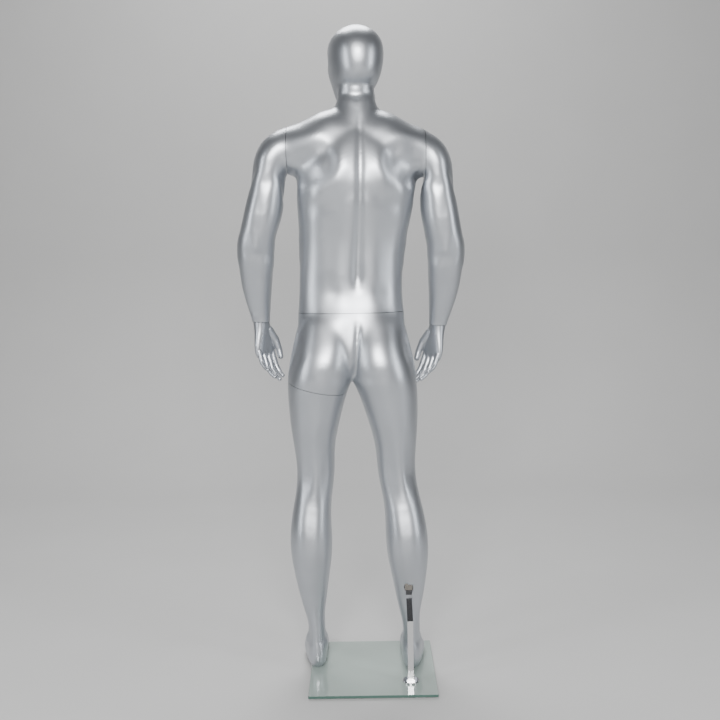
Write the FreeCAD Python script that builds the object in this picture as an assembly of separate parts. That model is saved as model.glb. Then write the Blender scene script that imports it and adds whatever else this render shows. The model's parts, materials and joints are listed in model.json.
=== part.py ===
"""Full body display mannequin: a silver lacquered fibreglass figure on a square glass plate.

Millimetres. +Z is up, the figure faces -Y and its own left is +X. The origin is on the floor, in
the middle of the box round the whole object. The figure stands with its feet apart and its hips
swayed to its left, and it comes apart at the waist, the shoulders, the wrists and the left thigh.
A square chrome bar rises from the plate and enters the right calf from behind.
"""
import FreeCAD
import Part
import math
import os

Vector = FreeCAD.Vector
os.makedirs("parts", exist_ok=True)

# ---- driving dimensions --------------------------------------------------------------------------
PLATE_SIDE = 355.6        # 14 inch square of toughened glass
PLATE_THICK = 8.0
PLATE_X = -21.0           # the plate sits towards the leg that the bar holds
PLATE_REAR = 242.0        # rear edge, behind the heels
PAD_HIGH = 4.0            # clear bumpers under the glass
PAD_RADIUS = 10.0
PAD_INSET = 28.0
SOLE = PAD_HIGH + PLATE_THICK
WALL = 4.0                # fibreglass
SEAM_GAP = 0.4            # between two shells that meet
END_FACE = 6.0            # closed end of a shell at a seam
SEAM_FLAT, SEAM_FLARE, SEAM_FLARE_IN = 78.0, 104.0, 14.0   # radii and depth of the arm's rim
WAIST_Z = 1043.0
WRIST_Z = 1004.0
SHOULDER_X = 191.0        # seam planes, either side of the shoulder centre
SHOULDER_SHIFT = 2.0
SHOULDER_Y, SHOULDER_Z = 2.0, 1494.0
SHOULDER_RISE = 0.030     # the left shoulder is the higher one: rise per millimetre
ARM_SHIFT = 10.0          # both arms hang a little to the figure's left
ARM_LEAN = 2.4            # degrees to the figure's left, from the shoulder down
HIP_SWAY = 24.5           # of the hips to the figure's left
FOOT_SWAY = 2.5
HEAD_TURN = 16.0          # degrees to the figure's left
TOE_OUT = {1: 4.0, -1: 3.0}            # degrees, left (+1) and right (-1)
LEG_BACK = {1: 26.0, -1: 41.0}         # how far each leg slopes back from hip to sole
BAR_SIDE = 16.0
BAR_X, BAR_Y = -127.0, 161.0
BAR_KNEE_Z = 186.0        # where the upright bends forwards
BAR_ELBOW = (90.0, 234.0)              # y and z where the bar turns up again
BAR_TIP_LEAN = 18.0       # degrees forwards of upright, inside the calf
BAR_TIP = 62.0
FLANGE_RADIUS = 23.5
RUN = 0.1                 # clearance of a sliding fit, each side
ORIGIN_X, ORIGIN_Y = 21.8, 50.2        # middle of the box round the figure and its plate

SIDE_NAME = {1: "left", -1: "right"}
RING_POINTS = 20
LARGE = 3000.0            # side of a block that is cut away
BOSS = 6.0                # solid material round and behind a fitting


# ---- curves and lofts ----------------------------------------------------------------------------
def ring(centre, out_dir, back_dir, out, inn, back, front, square_back=2.2, square_front=2.2):
    """Points of a superellipse with four half axes, in the plane of out_dir and back_dir.

    They are the poles of a closed cubic curve, which runs a little inside them, so they are
    spread by the same amount.
    """
    spread = 3 / (2 + math.cos(2 * math.pi / RING_POINTS))
    points = []
    for i in range(RING_POINTS):
        t = 2 * math.pi * i / RING_POINTS
        c, s = math.cos(t), math.sin(t)
        n = square_back if s > 0 else square_front
        u = spread * math.copysign(abs(c) ** (2 / n), c) * (out if c > 0 else inn)
        v = spread * math.copysign(abs(s) ** (2 / n), s) * (back if s > 0 else front)
        points.append(centre + out_dir * u + back_dir * v)
    return points


def loft(rings):
    """Solid with a smooth skin that follows the rings, and a flat face at either end."""
    count, spans = RING_POINTS, len(rings) - 2
    around = list(range(count + 1))
    along = list(range(spans))
    skin = Part.BSplineSurface()
    poles = [[points[i] for points in rings] for i in range(count)]
    skin.buildFromPolesMultsKnots(poles, [1] * (count + 1), [4] + [1] * (spans - 2) + [4],
                                  around, along, True, False, 3, 3)
    side = skin.toShape()
    rims = [edge for edge in side.Edges if edge.isClosed() and not edge.isSeam(side)]
    caps = [Part.Face(Part.Wire(rim)) for rim in rims]
    shell = Part.makeShell([side] + caps)
    shell.sewShape()
    solid = Part.makeSolid(Part.Shell(shell.Faces))
    if solid.Volume < 0:
        solid.reverse()
    return solid


def slab(low, high):
    """Box from one corner to the other."""
    size = high.sub(low)
    return Part.makeBox(size.x, size.y, size.z, low)


def beyond(point, normal):
    """A large block that fills the half space on the side that normal points to."""
    block = Part.makeBox(LARGE, LARGE, LARGE, Vector(-LARGE / 2, -LARGE / 2, 0))
    turn = FreeCAD.Rotation(Vector(0, 0, 1), normal)
    block.Placement = FreeCAD.Placement(point, turn)
    return block


def cylinder(point, direction, radius, length):
    return Part.makeCylinder(radius, length, point, direction)


def cone_bone(start, end, r_start, r_end):
    """Tapered rod with round ends."""
    along = end.sub(start)
    rod = Part.makeCone(r_start, r_end, along.Length, start, along)
    return rod.fuse([Part.makeSphere(r_start, start), Part.makeSphere(r_end, end)])


def mirrored(shape):
    return shape.mirror(Vector(0, 0, 0), Vector(1, 0, 0))


def save(name, shape):
    shape.translate(Vector(-ORIGIN_X, -ORIGIN_Y, 0))
    shape.exportStep("parts/" + name + ".step")


def one_solid(shape):
    """The largest solid of a boolean's result, with its seams merged."""
    return max(shape.Solids, key=lambda s: s.Volume)


# ---- the figure's posture ------------------------------------------------------------------------
def clamp(t):
    return min(1.0, max(0.0, t))


def smooth(t):
    t = clamp(t)
    return t * t * (3 - 2 * t)


def sway(z):
    """How far the figure's middle lies to its left at height z."""
    rise = FOOT_SWAY + (HIP_SWAY - FOOT_SWAY) * clamp(z / 850.0)
    return rise - (HIP_SWAY - 2.0) * smooth((z - 1090.0) / 360.0)


def set_back(side, z):
    """How far the leg's middle lies behind the hip at height z."""
    return LEG_BACK[side] * (1 - smooth(z / 1000.0))


# ---- pelvis and legs -----------------------------------------------------------------------------
# height, outer edge, inner edge, front, back, squareness at the back and the front
HALF_BODY = [
    (1070, 128.0, -8, -80, 52, 2.2, 2.3),
    (1040, 141.0, -12, -89, 68, 2.2, 2.4),
    (1000, 155.0, -16, -95, 91, 2.2, 2.5),
    (950, 166.5, -16, -94, 112, 2.15, 2.5),
    (905, 176.5, -15, -88, 123, 2.1, 2.4),
    (872, 181.5, -10, -83, 124, 2.1, 2.3),
    (848, 183.5, 1, -82, 119, 2.15, 2.2),
    (822, 185.0, 13, -84, 110, 2.2, 2.2),
    (790, 185.0, 24, -86, 101, 2.2, 2.2),
    (745, 184.0, 37, -86, 90, 2.15, 2.2),
    (695, 180.5, 51, -83, 79, 2.1, 2.1),
    (645, 174.5, 60, -77, 67, 2.1, 2.1),
    (600, 170.5, 61, -70, 57, 2.2, 2.2),
    (550, 172.5, 66, -66, 51, 2.3, 2.3),
    (500, 182.0, 76, -58, 56, 2.3, 2.2),
    (450, 193.0, 79, -50, 68, 2.2, 2.1),
    (400, 199.0, 77, -45, 76, 2.1, 2.1),
    (350, 199.0, 79, -42, 75, 2.1, 2.1),
    (300, 193.0, 87, -38, 66, 2.1, 2.1),
    (250, 185.0, 96, -34, 55, 2.1, 2.1),
    (205, 176.0, 103, -31, 48, 2.1, 2.1),
    (170, 167.0, 110, -30, 45, 2.1, 2.1),
]
# height, half width, front, back, squareness of the belly between the two halves
BELLY = [
    (1085, 147.0, -96, 69, 2.4),
    (1040, 151.5, -97, 77, 2.4),
    (1000, 154.0, -98, 85, 2.4),
    (960, 146.0, -96, 91, 2.4),
    (920, 118.0, -91, 91, 2.3),
    (885, 78.0, -82, 78, 2.2),
    (862, 46.0, -66, 52, 2.1),
    (850, 26.0, -44, 26, 2.1),
]
ANKLE_X, ANKLE_Y = 138.0, 7.0
# instep point and heel or sole point, each as forwards and up, then outer and inner half width,
# squareness of the sole side, and how far the outer edge falls back
FOOT = [
    ((27, 128), (-39, 125), 25, 25, 2.1, 0.0),
    ((31, 108), (-42, 92), 24, 24, 2.1, 0.0),
    ((38, 95), (-50, 60), 28, 28, 2.1, 0.0),
    ((46, 87), (-54, 30), 28, 27, 2.2, 0.0),
    ((55, 81), (-44, 2), 28, 27, 2.4, 0.0),
    ((67, 73), (-12, -2), 31, 29, 2.8, 0.0),
    ((82, 62), (31, -2), 36, 31, 3.0, 0.0),
    ((99, 51), (76, -2), 38, 35, 3.0, 0.08),
    ((119, 41), (111, -2), 36, 38, 3.0, 0.22),
    ((140, 33), (137, -2), 33, 39, 3.0, 0.34),
    ((156, 27), (154, 0), 27, 34, 2.8, 0.40),
    ((165, 21), (164, 6), 16, 24, 2.4, 0.40),
]


def leg_rings(side, inset, rows):
    rings = []
    for z, outer, inner, front, back, sq_back, sq_front in rows:
        middle_x, middle_y = (outer + inner) / 2, (front + back) / 2 + set_back(side, z)
        half_x, half_y = (outer - inner) / 2 - inset, (back - front) / 2 - inset
        centre = Vector(side * middle_x + sway(z), middle_y, z)
        rings.append(ring(centre, Vector(side, 0, 0), Vector(0, 1, 0), half_x, half_x,
                          half_y, half_y, sq_back, sq_front))
    return rings


def foot_rings(side):
    turn = math.radians(TOE_OUT[side])
    ahead = Vector(side * math.sin(turn), -math.cos(turn), 0)
    outwards = Vector(side * math.cos(turn), math.sin(turn), 0)
    ankle = Vector(side * ANKLE_X + FOOT_SWAY, ANKLE_Y + set_back(side, SOLE), SOLE)
    rings = []
    for (f0, z0), (f1, z1), out, inn, sq_sole, fall_back in FOOT:
        out_dir = (outwards - ahead * fall_back).normalize()
        instep = ankle + ahead * f0 + Vector(0, 0, z0)
        sole = ankle + ahead * f1 + Vector(0, 0, z1)
        half = (instep - sole).Length / 2
        down = (sole - instep).normalize()
        rings.append(ring((instep + sole) * 0.5, out_dir, down, out, inn, half, half,
                          sq_sole, 2.1))
    return rings


def leg_solid(side):
    """One half of the pelvis with its leg and its flat-soled foot."""
    whole = loft(leg_rings(side, 0.0, HALF_BODY) + foot_rings(side))
    return whole.cut(beyond(Vector(0, 0, SOLE), Vector(0, 0, -1)))


def leg_cavity(side):
    """The hollow of one half, which ends above the solid foot."""
    return loft(leg_rings(side, WALL, HALF_BODY))


def oval_rings(rows, inset):
    """Level sections that follow the figure's middle: height, half width, front, back, squareness."""
    rings = []
    for z, half, front, back, square in rows:
        centre = Vector(sway(z), (front + back) / 2, z)
        half_y = (back - front) / 2 - inset
        rings.append(ring(centre, Vector(1, 0, 0), Vector(0, 1, 0), half - inset, half - inset,
                          half_y, half_y, square, square))
    return rings


# ---- torso, neck and head ------------------------------------------------------------------------
# height, half width, front, back, squareness
TRUNK = [
    (1018, 154.0, -98, 83, 2.4),
    (1040, 151.5, -97, 77, 2.4),
    (1075, 147.5, -96, 70, 2.4),
    (1110, 146.0, -96, 67, 2.4),
    (1155, 146.0, -97, 70, 2.4),
    (1200, 146.0, -99, 79, 2.4),
    (1250, 150.5, -104, 91, 2.4),
    (1300, 158.0, -111, 103, 2.4),
    (1350, 164.0, -120, 112, 2.4),
    (1400, 168.5, -126, 116, 2.4),
    (1450, 164.0, -121, 113, 2.4),
    (1495, 140.0, -104, 103, 2.3),
    (1535, 96.0, -78, 88, 2.2),
    (1562, 60.0, -60, 74, 2.1),
]
# distance from the middle, underside, top, front, back
YOKE = [
    (0, 1430, 1608, -66, 84),
    (45, 1424, 1607, -72, 88),
    (85, 1416, 1602, -80, 90),
    (112, 1412, 1589, -82, 88),
    (138, 1412, 1574, -78, 82),
    (160, 1416, 1563.5, -72, 75),
    (190, 1424, 1555, -64, 68),
    (225, 1436, 1543, -58, 62),
]
NECK = [
    (1545, 92, -60, 82),
    (1575, 78, -57, 76),
    (1605, 60, -53, 66),
    (1635, 51, -50, 60),
    (1665, 50.5, -47, 57),
    (1705, 49, -44, 55),
]
# height, half width, front, back
HEAD = [
    (1613, 17, -86, -46),
    (1622, 31, -94, -26),
    (1638, 43, -99, 4),
    (1656, 53, -101, 42),
    (1674, 60.5, -102, 75),
    (1694, 67.5, -103, 91),
    (1720, 73.5, -103, 98),
    (1748, 76, -102, 100),
    (1772, 75, -98, 97),
    (1793, 68, -86, 86),
    (1811, 54, -65, 68),
    (1824, 34, -38, 43),
    (1830, 12, -15, 20),
]


def yoke_ring(x, low, top, front, back, inset):
    """Section of the shoulder girdle in a plane across X."""
    middle = Vector(x + SHOULDER_SHIFT, (front + back) / 2, (low + top) / 2 + x * SHOULDER_RISE)
    half_y, half_z = (back - front) / 2 - inset, (top - low) / 2 - inset
    return ring(middle, Vector(0, 0, 1), Vector(0, 1, 0), half_z, half_z, half_y, half_y, 2.2, 2.2)


def torso_solid(inset=0.0):
    """Trunk, shoulder girdle, neck and head as one closed form, past the seams."""
    rows = [(-x, *rest) for x, *rest in reversed(YOKE)] + YOKE[1:]
    yoke = [yoke_ring(*row, inset) for row in rows]
    neck = []
    for z, half, front, back in NECK:
        neck.append(ring(Vector(0, (front + back) / 2, z), Vector(1, 0, 0), Vector(0, 1, 0),
                         half - inset, half - inset, (back - front) / 2 - inset,
                         (back - front) / 2 - inset))
    return loft(oval_rings(TRUNK, inset)).fuse([loft(yoke), loft(neck), head_solid(inset)])


def head_solid(inset=0.0):
    turn = FreeCAD.Rotation(Vector(0, 0, 1), HEAD_TURN)
    out_dir, back_dir = turn.multVec(Vector(1, 0, 0)), turn.multVec(Vector(0, 1, 0))
    rings = []
    rows = HEAD[3:-3] if inset else HEAD
    for z, half, front, back in rows:
        width, depth = half - inset, (back - front) / 2 - inset
        centre = turn.multVec(Vector(0, (front + back) / 2, 0)) + Vector(0, 0, z)
        rings.append(ring(centre, out_dir, back_dir, width, width, depth, depth, 2.15, 2.15))
    return loft(rings)


# ---- arms ----------------------------------------------------------------------------------------
# outer point and inner point, each as outwards and up, then front and back
ARM = [
    ((162, 1562), (160, 1436), -66, 70),
    ((186, 1556), (182, 1432), -61, 66),
    ((224, 1540), (186, 1428), -62, 66),
    ((256, 1510), (188, 1422), -63, 66),
    ((271, 1474), (189, 1414), -63, 65),
    ((278.5, 1430), (189.5, 1402), -61, 64),
    ((285, 1390), (190, 1376), -59, 63),
    ((296, 1348), (190.5, 1342), -57, 62),
    ((305.5, 1300), (198, 1296), -53, 59),
    ((317, 1252), (214, 1252), -50, 52),
    ((321.5, 1215), (220, 1220), -55, 42),
    ((319, 1175), (220, 1180), -68, 26),
    ((316, 1128), (224, 1130), -79, 6),
    ((306.5, 1078), (228.5, 1078), -84, -14),
    ((291, 1030), (231, 1030), -84, -33),
    ((283, 1004), (232, 1004), -84, -41),
    ((280, 985), (232, 985), -87, -45),
]
WRIST = Vector(257.5, -62.5, WRIST_Z)


def arm_solid(inset=0.0):
    """The left arm before it leans, from inside the shoulder to past the wrist."""
    rings = []
    for (x0, z0), (x1, z1), front, back in ARM:
        outer, inner = Vector(x0, 0, z0), Vector(x1, 0, z1)
        half = (outer - inner).Length / 2 - inset
        depth = (back - front) / 2 - inset
        centre = (outer + inner) * 0.5 + Vector(0, (front + back) / 2, 0)
        rings.append(ring(centre, (outer - inner).normalize(), Vector(0, 1, 0), half, half,
                          depth, depth))
    return loft(rings)


# ---- hands ---------------------------------------------------------------------------------------
PALM_TURN = 50.0      # degrees that the palm's breadth turns forwards from straight inwards
HAND_TILT = 7.0       # degrees that the hand leans in towards the thigh
# breadth, along, palmwards: centre of each section of the palm, then half breadth, half thickness
PALM = [
    (0, -12, 0, 25.0, 21.5),
    (0, 0, 0, 24.5, 21.0),
    (1, 16, 1, 26.0, 19.0),
    (2, 36, 2, 31.5, 17.0),
    (2, 58, 2, 36.5, 15.5),
    (0, 78, 2, 37.5, 13.5),
    (-1, 94, 2, 35.5, 11.0),
    (-1, 103, 2, 30.0, 8.0),
]
FINGER_ROOT = 14.0    # of each finger inside the palm
# breadth and distance along of the knuckle, three bone lengths, three bends, spread, base radius
FINGERS = {
    "index": (25, 94, (39, 22, 16), (12, 28, 42), 3, 8.8),
    "middle": (8, 97, (42, 25, 17), (14, 34, 48), 0, 9.0),
    "ring": (-9, 94, (39, 24, 17), (17, 38, 54), -3, 8.6),
    "little": (-25, 88, (30, 18, 14), (20, 42, 58), -7, 7.4),
}
THUMB = [(17, 26, 8, 14.5), (33, 56, 16, 12.0), (38, 86, 22, 9.8), (37, 107, 27, 8.2)]


def hand_axes():
    """Breadth (towards the thumb), palmwards and fingerwards directions of the left hand."""
    turn, tilt = math.radians(PALM_TURN), FreeCAD.Rotation(Vector(0, 1, 0), HAND_TILT)
    breadth = Vector(-math.cos(turn), -math.sin(turn), 0)
    palmwards = Vector(-math.sin(turn), math.cos(turn), 0)
    return tilt.multVec(breadth), tilt.multVec(palmwards), tilt.multVec(Vector(0, 0, -1))


def hand_solid():
    breadth, palmwards, along = hand_axes()

    def at(b, a, p):
        return WRIST + breadth * b + along * a + palmwards * p

    hand = loft([ring(at(b, a, p), breadth, palmwards, half_b, half_b, half_p, half_p, 2.3, 2.3)
                 for b, a, p, half_b, half_p in PALM])
    pieces = []
    for knuckle_b, knuckle_a, bones, bends, spread, radius in FINGERS.values():
        point = at(knuckle_b, knuckle_a - FINGER_ROOT, 2)
        r = radius * 1.06
        aside = breadth * math.tan(math.radians(spread))
        lengths = (FINGER_ROOT + bones[0], bones[1], bones[2])
        for length, bend in zip(lengths, bends):
            angle = math.radians(bend)
            way = along * math.cos(angle) + palmwards * math.sin(angle) + aside
            end = point + way.normalize() * length
            pieces.append(cone_bone(point, end, r, r * 0.87))
            point, r = end, r * 0.87
    for (b0, a0, p0, r0), (b1, a1, p1, r1) in zip(THUMB, THUMB[1:]):
        pieces.append(cone_bone(at(b0, a0, p0), at(b1, a1, p1), r0, r1))
    return hand.fuse(pieces)


# ---- placing ------------------------------------------------------------------------------------
def shoulder_centre(side):
    x = SHOULDER_SHIFT + side * SHOULDER_X
    return Vector(x, SHOULDER_Y, SHOULDER_Z + side * SHOULDER_X * SHOULDER_RISE)


def place_arm(shape, side):
    """Take a piece of the upright left arm to where the arm of this side hangs."""
    placed = shape.copy() if side > 0 else mirrored(shape)
    placed.translate(Vector(ARM_SHIFT, 0, side * SHOULDER_X * SHOULDER_RISE))
    placed.rotate(shoulder_centre(side), Vector(0, 1, 0), -ARM_LEAN)
    return placed


def inside_shoulder(side, gap):
    """All that lies inwards of a shoulder seam, whose rim flares inwards below the armpit.

    It is turned about the shoulder's axis, so an arm cut by it can turn without touching.
    """
    face = -gap
    rim, far = face - SEAM_FLARE_IN, LARGE / 3
    profile = [(0, face), (SEAM_FLAT, face), (SEAM_FLARE, rim), (far, rim), (far, face - far),
               (0, face - far), (0, face)]
    middle = shoulder_centre(side)
    corners = [middle + Vector(side * x, 0, r) for r, x in profile]
    solid = Part.Face(Part.makePolygon(corners)).revolve(middle, Vector(1, 0, 0), 360)
    if solid.Volume < 0:
        solid.reverse()
    return solid


# ---- fittings ------------------------------------------------------------------------------------
SCREW_HEAD, SCREW_SHANK, SCREW_LONG = 4.0, 2.0, 16.0
SCREW_HEAD_DEEP = 2.4
SCREW_PLAY = 0.1


def screw(point, way, play=0.0):
    """Countersunk screw with its head flush with point, or with play the hole for it."""
    head = Part.makeCone(SCREW_HEAD + play, SCREW_SHANK + play, SCREW_HEAD_DEEP, point, way)
    return head.fuse(cylinder(point, way, SCREW_SHANK + play, SCREW_LONG + play))


def circle_points(centre, across, other, radius, count, first=0.0):
    """Points evenly spaced on a circle."""
    points = []
    for i in range(count):
        t = math.radians(first) + 2 * math.pi * i / count
        points.append(centre + across * (radius * math.cos(t)) + other * (radius * math.sin(t)))
    return points


def screws(points, way):
    return Part.makeCompound([screw(point, way) for point in points])


def holes(points, way):
    return [screw(point, way, SCREW_PLAY) for point in points]


def square_bar(point, along, side_way, side, length):
    """Square bar that starts at point; one pair of faces is square to side_way."""
    other = along.cross(side_way).normalize()
    corners = [point + side_way * (a * side / 2) + other * (b * side / 2)
               for a, b in ((-1, -1), (1, -1), (1, 1), (-1, 1), (-1, -1))]
    return Part.Face(Part.makePolygon(corners)).extrude(along * length)


# ---- waist ---------------------------------------------------------------------------------------
WAIST_DISC, WAIST_DISC_THICK = 58.0, 5.0
WAIST_POST, WAIST_POST_HIGH, WAIST_POST_CHAMFER = 36.0, 48.0, 3.0
WAIST_TUBE, WAIST_TUBE_HIGH = 46.0, 56.0
WAIST_MID = Vector(sway(WAIST_Z), -8, WAIST_Z)
UP, DOWN = Vector(0, 0, 1), Vector(0, 0, -1)
ACROSS, BACK = Vector(1, 0, 0), Vector(0, 1, 0)
waist_low = WAIST_MID - UP * (SEAM_GAP / 2)
waist_high = WAIST_MID + UP * (SEAM_GAP / 2)
WAIST_SCREWS = 46.0


def waist_post():
    disc = cylinder(waist_low, DOWN, WAIST_DISC, WAIST_DISC_THICK)
    post = square_bar(waist_low, UP, ACROSS, WAIST_POST, WAIST_POST_HIGH)
    top = [edge for edge in post.Edges
           if abs(edge.Vertexes[0].Z - edge.Vertexes[1].Z) < 1e-6
           and edge.Vertexes[0].Z > WAIST_Z + WAIST_POST_HIGH / 2]
    post = post.makeChamfer(WAIST_POST_CHAMFER, top)
    points = circle_points(waist_low, ACROSS, BACK, WAIST_SCREWS, 4)
    return disc.fuse(post).cut(holes(points, DOWN)), screws(points, DOWN)


def waist_socket():
    disc = cylinder(waist_high, UP, WAIST_DISC, WAIST_DISC_THICK)
    tube = square_bar(waist_high, UP, ACROSS, WAIST_TUBE, WAIST_TUBE_HIGH)
    bore = square_bar(waist_high, UP, ACROSS, WAIST_POST + 2 * RUN, WAIST_POST_HIGH + 2)
    points = circle_points(waist_high, ACROSS, BACK, WAIST_SCREWS, 4)
    solid = disc.fuse(tube).cut([bore] + holes(points, UP))
    return solid, solid.fuse(bore), screws(points, UP)


# ---- left thigh ----------------------------------------------------------------------------------
THIGH_SEAM = Vector(HIP_SWAY + 99, 0, 838)                # a point of the seam's plane
THIGH_NORMAL = Vector(-0.209, 0.10, 1.0).normalize()      # up, square to the seam
THIGH_DISC, THIGH_DISC_THICK = 45.0, 4.0
THIGH_PIN, THIGH_PIN_LONG = 14.0, 24.0
THIGH_SCREWS = 34.0
THIGH_MID = THIGH_SEAM + Vector(0, 10, 0)
THIGH_MID -= THIGH_NORMAL * THIGH_NORMAL.dot(THIGH_MID - THIGH_SEAM)
THIGH_ACROSS = BACK.cross(THIGH_NORMAL).normalize()
THIGH_OTHER = THIGH_NORMAL.cross(THIGH_ACROSS)
thigh_low = THIGH_MID - THIGH_NORMAL * (SEAM_GAP / 2)
thigh_high = THIGH_MID + THIGH_NORMAL * (SEAM_GAP / 2)


def thigh_pin():
    """Plate on top of the loose leg, with a round pin that enters the pelvis."""
    way = THIGH_NORMAL * -1
    disc = cylinder(thigh_low, way, THIGH_DISC, THIGH_DISC_THICK)
    pin = cylinder(thigh_low, THIGH_NORMAL, THIGH_PIN, THIGH_PIN_LONG)
    points = circle_points(thigh_low, THIGH_ACROSS, THIGH_OTHER, THIGH_SCREWS, 3)
    return disc.fuse(pin).cut(holes(points, way)), screws(points, way)


def thigh_cup():
    disc = cylinder(thigh_high, THIGH_NORMAL, THIGH_DISC, THIGH_DISC_THICK)
    cup = cylinder(thigh_high, THIGH_NORMAL, THIGH_PIN + 4, THIGH_PIN_LONG + 4)
    bore = cylinder(thigh_high, THIGH_NORMAL, THIGH_PIN + RUN, THIGH_PIN_LONG + 1)
    points = circle_points(thigh_high, THIGH_ACROSS, THIGH_OTHER, THIGH_SCREWS, 3)
    solid = disc.fuse(cup).cut([bore] + holes(points, THIGH_NORMAL))
    return solid, solid.fuse(bore), screws(points, THIGH_NORMAL)


# ---- shoulders -----------------------------------------------------------------------------------
SHOULDER_DISC, SHOULDER_DISC_THICK = 38.0, 4.0
SHANK_RADIUS = 9.0
LUG_HALF, LUG_WIDE, LUG_THICK = 21.0, 12.0, 7.0
LUG_PLAY = 0.4
CHAMBER_RADIUS, CHAMBER_DEEP = 24.0, 14.0
SHOULDER_SCREWS = 30.0


def lug_bar(point, way, along, play=0.0):
    """Cross bar with round ends that locks behind the shoulder plate."""
    thick = SHOULDER_DISC_THICK + 2 * RUN if play else LUG_THICK
    sideways = way.cross(along).normalize()
    half_wide = LUG_WIDE / 2 + play
    corners = [point + along * (a * CHAMBER_RADIUS) + sideways * (b * half_wide)
               for a, b in ((-1, -1), (1, -1), (1, 1), (-1, 1), (-1, -1))]
    bar = Part.Face(Part.makePolygon(corners)).extrude(way * thick)
    return bar.common(cylinder(point, way, LUG_HALF + play, thick))


def shoulder_fittings(side):
    """Slotted plate on the torso, lugged plate on the arm, and what is cut away for them."""
    outwards, inwards = Vector(side, 0, 0), Vector(-side, 0, 0)
    middle = shoulder_centre(side)
    torso_face = middle + inwards * (SEAM_GAP / 2)
    arm_face = middle + outwards * (SEAM_GAP / 2)
    plate = cylinder(torso_face, inwards, SHOULDER_DISC, SHOULDER_DISC_THICK)
    slot = lug_bar(torso_face + outwards * RUN, inwards, BACK, LUG_PLAY)
    shank_hole = cylinder(torso_face, inwards, SHANK_RADIUS + RUN, SHOULDER_DISC_THICK)
    torso_points = circle_points(torso_face, BACK, UP, SHOULDER_SCREWS, 4, 45)
    torso_plate = plate.cut([slot, shank_hole] + holes(torso_points, inwards))
    chamber_face = torso_face + inwards * SHOULDER_DISC_THICK
    chamber = cylinder(chamber_face, inwards, CHAMBER_RADIUS, CHAMBER_DEEP)
    behind = SEAM_GAP + SHOULDER_DISC_THICK + LUG_PLAY
    arm_plate = cylinder(arm_face, outwards, SHOULDER_DISC, SHOULDER_DISC_THICK)
    shank = cylinder(arm_face, inwards, SHANK_RADIUS, behind + LUG_THICK)
    lug = lug_bar(arm_face + inwards * behind, inwards, UP)
    arm_points = circle_points(arm_face, BACK, UP, SHOULDER_SCREWS, 4, 45)
    arm_lug = arm_plate.cut(holes(arm_points, outwards)).fuse([shank, lug])
    return {
        "torso_plate": torso_plate,
        "torso_screws": screws(torso_points, inwards),
        "torso_cut": [plate, chamber] + holes(torso_points, inwards),
        "arm_lug": arm_lug,
        "arm_screws": screws(arm_points, outwards),
        "arm_cut": [arm_plate] + holes(arm_points, outwards),
    }


# ---- wrists --------------------------------------------------------------------------------------
WRIST_DISC, WRIST_DISC_THICK = 17.0, 3.0
WRIST_PIN, WRIST_PIN_LONG = 7.0, 25.0
SLEEVE_RADIUS, SLEEVE_LONG = 11.0, 30.0
PIVOT_RADIUS, PIVOT_LONG = 5.0, 14.0


def wrist_fittings():
    """Sleeve in the forearm, and the post between forearm and hand, for the upright left arm."""
    arm_face = WRIST + UP * (SEAM_GAP / 2)
    hand_face = WRIST - UP * (SEAM_GAP / 2)
    sleeve = cylinder(arm_face, UP, WRIST_DISC, WRIST_DISC_THICK)
    sleeve = sleeve.fuse(cylinder(arm_face, UP, SLEEVE_RADIUS, SLEEVE_LONG))
    bore = cylinder(arm_face, UP, WRIST_PIN + RUN, WRIST_PIN_LONG + 1)
    post = cylinder(hand_face, DOWN, WRIST_DISC, WRIST_DISC_THICK)
    post = post.fuse([cylinder(hand_face, UP, WRIST_PIN, WRIST_PIN_LONG),
                      cylinder(hand_face, DOWN, PIVOT_RADIUS, PIVOT_LONG)])
    hand_cut = [cylinder(hand_face, DOWN, WRIST_DISC + RUN, WRIST_DISC_THICK + RUN),
                cylinder(hand_face, DOWN, PIVOT_RADIUS + RUN, PIVOT_LONG + RUN)]
    return {"sleeve": sleeve.cut(bore), "arm_cut": [sleeve], "post": post, "hand_cut": hand_cut}


# ---- base, bar and calf --------------------------------------------------------------------------
BAR_WALL = 2.0
ELBOW = Vector(BAR_X, BAR_ELBOW[0], BAR_ELBOW[1])
TIP_WAY = Vector(0, -math.sin(math.radians(BAR_TIP_LEAN)), math.cos(math.radians(BAR_TIP_LEAN)))
BAR_CAP = 3.0             # closed end of the bar
BAR_PLUG = 22.0           # solid foot of the bar, which the bolt screws into
SOCKET_WALL, SOCKET_END = 2.5, 3.0
SOCKET_START = 16.0       # from the elbow to the mouth of the socket
ENTRY_LONG, ENTRY_PLAY = 60.0, 1.2     # slot in the calf's skin round the bar
CALF_SOLID = (190.0, 320.0)            # heights between which the back of the calf is solid
GLASS_CHAMFER = 0.8
FLANGE_THICK, FLANGE_CHAMFER = 4.0, 1.5
FLANGE_SCREWS = 16.0
SMALL_HEAD, SMALL_SHANK, SMALL_HEAD_DEEP, SMALL_LONG = 2.6, 1.4, 1.6, 3.6
COLLAR_SIDE, COLLAR_HIGH = 21.0, 5.0
BOLT_RADIUS, BOLT_HEAD, BOLT_HEAD_HIGH, BOLT_LONG = 4.0, 8.0, 2.0, 30.0
BOLT_HOLE, GLASS_HOLE = BOLT_RADIUS + 0.2, BOLT_RADIUS + 1.0
BOLT_KEY, BOLT_KEY_DEEP = 5.0, 1.2
WASHER_RADIUS, WASHER_THICK = 16.0, 1.5
GASKET_THICK = 1.0


def mitred_outline(path, half):
    """Corners of a bar of even width that follows a path in the YZ plane, round its far side."""
    ways = [(b - a).normalize() for a, b in zip(path, path[1:])]
    left, right = [], []
    for i, point in enumerate(path):
        before, after = ways[max(i - 1, 0)], ways[min(i, len(ways) - 1)]
        middle = (before + after).normalize()
        normal = Vector(0, -middle.z, middle.y)
        reach = half / math.cos(before.getAngle(after) / 2)
        left.append(point + normal * reach)
        right.append(point - normal * reach)
    return left + right[::-1] + left[:1]


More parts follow.
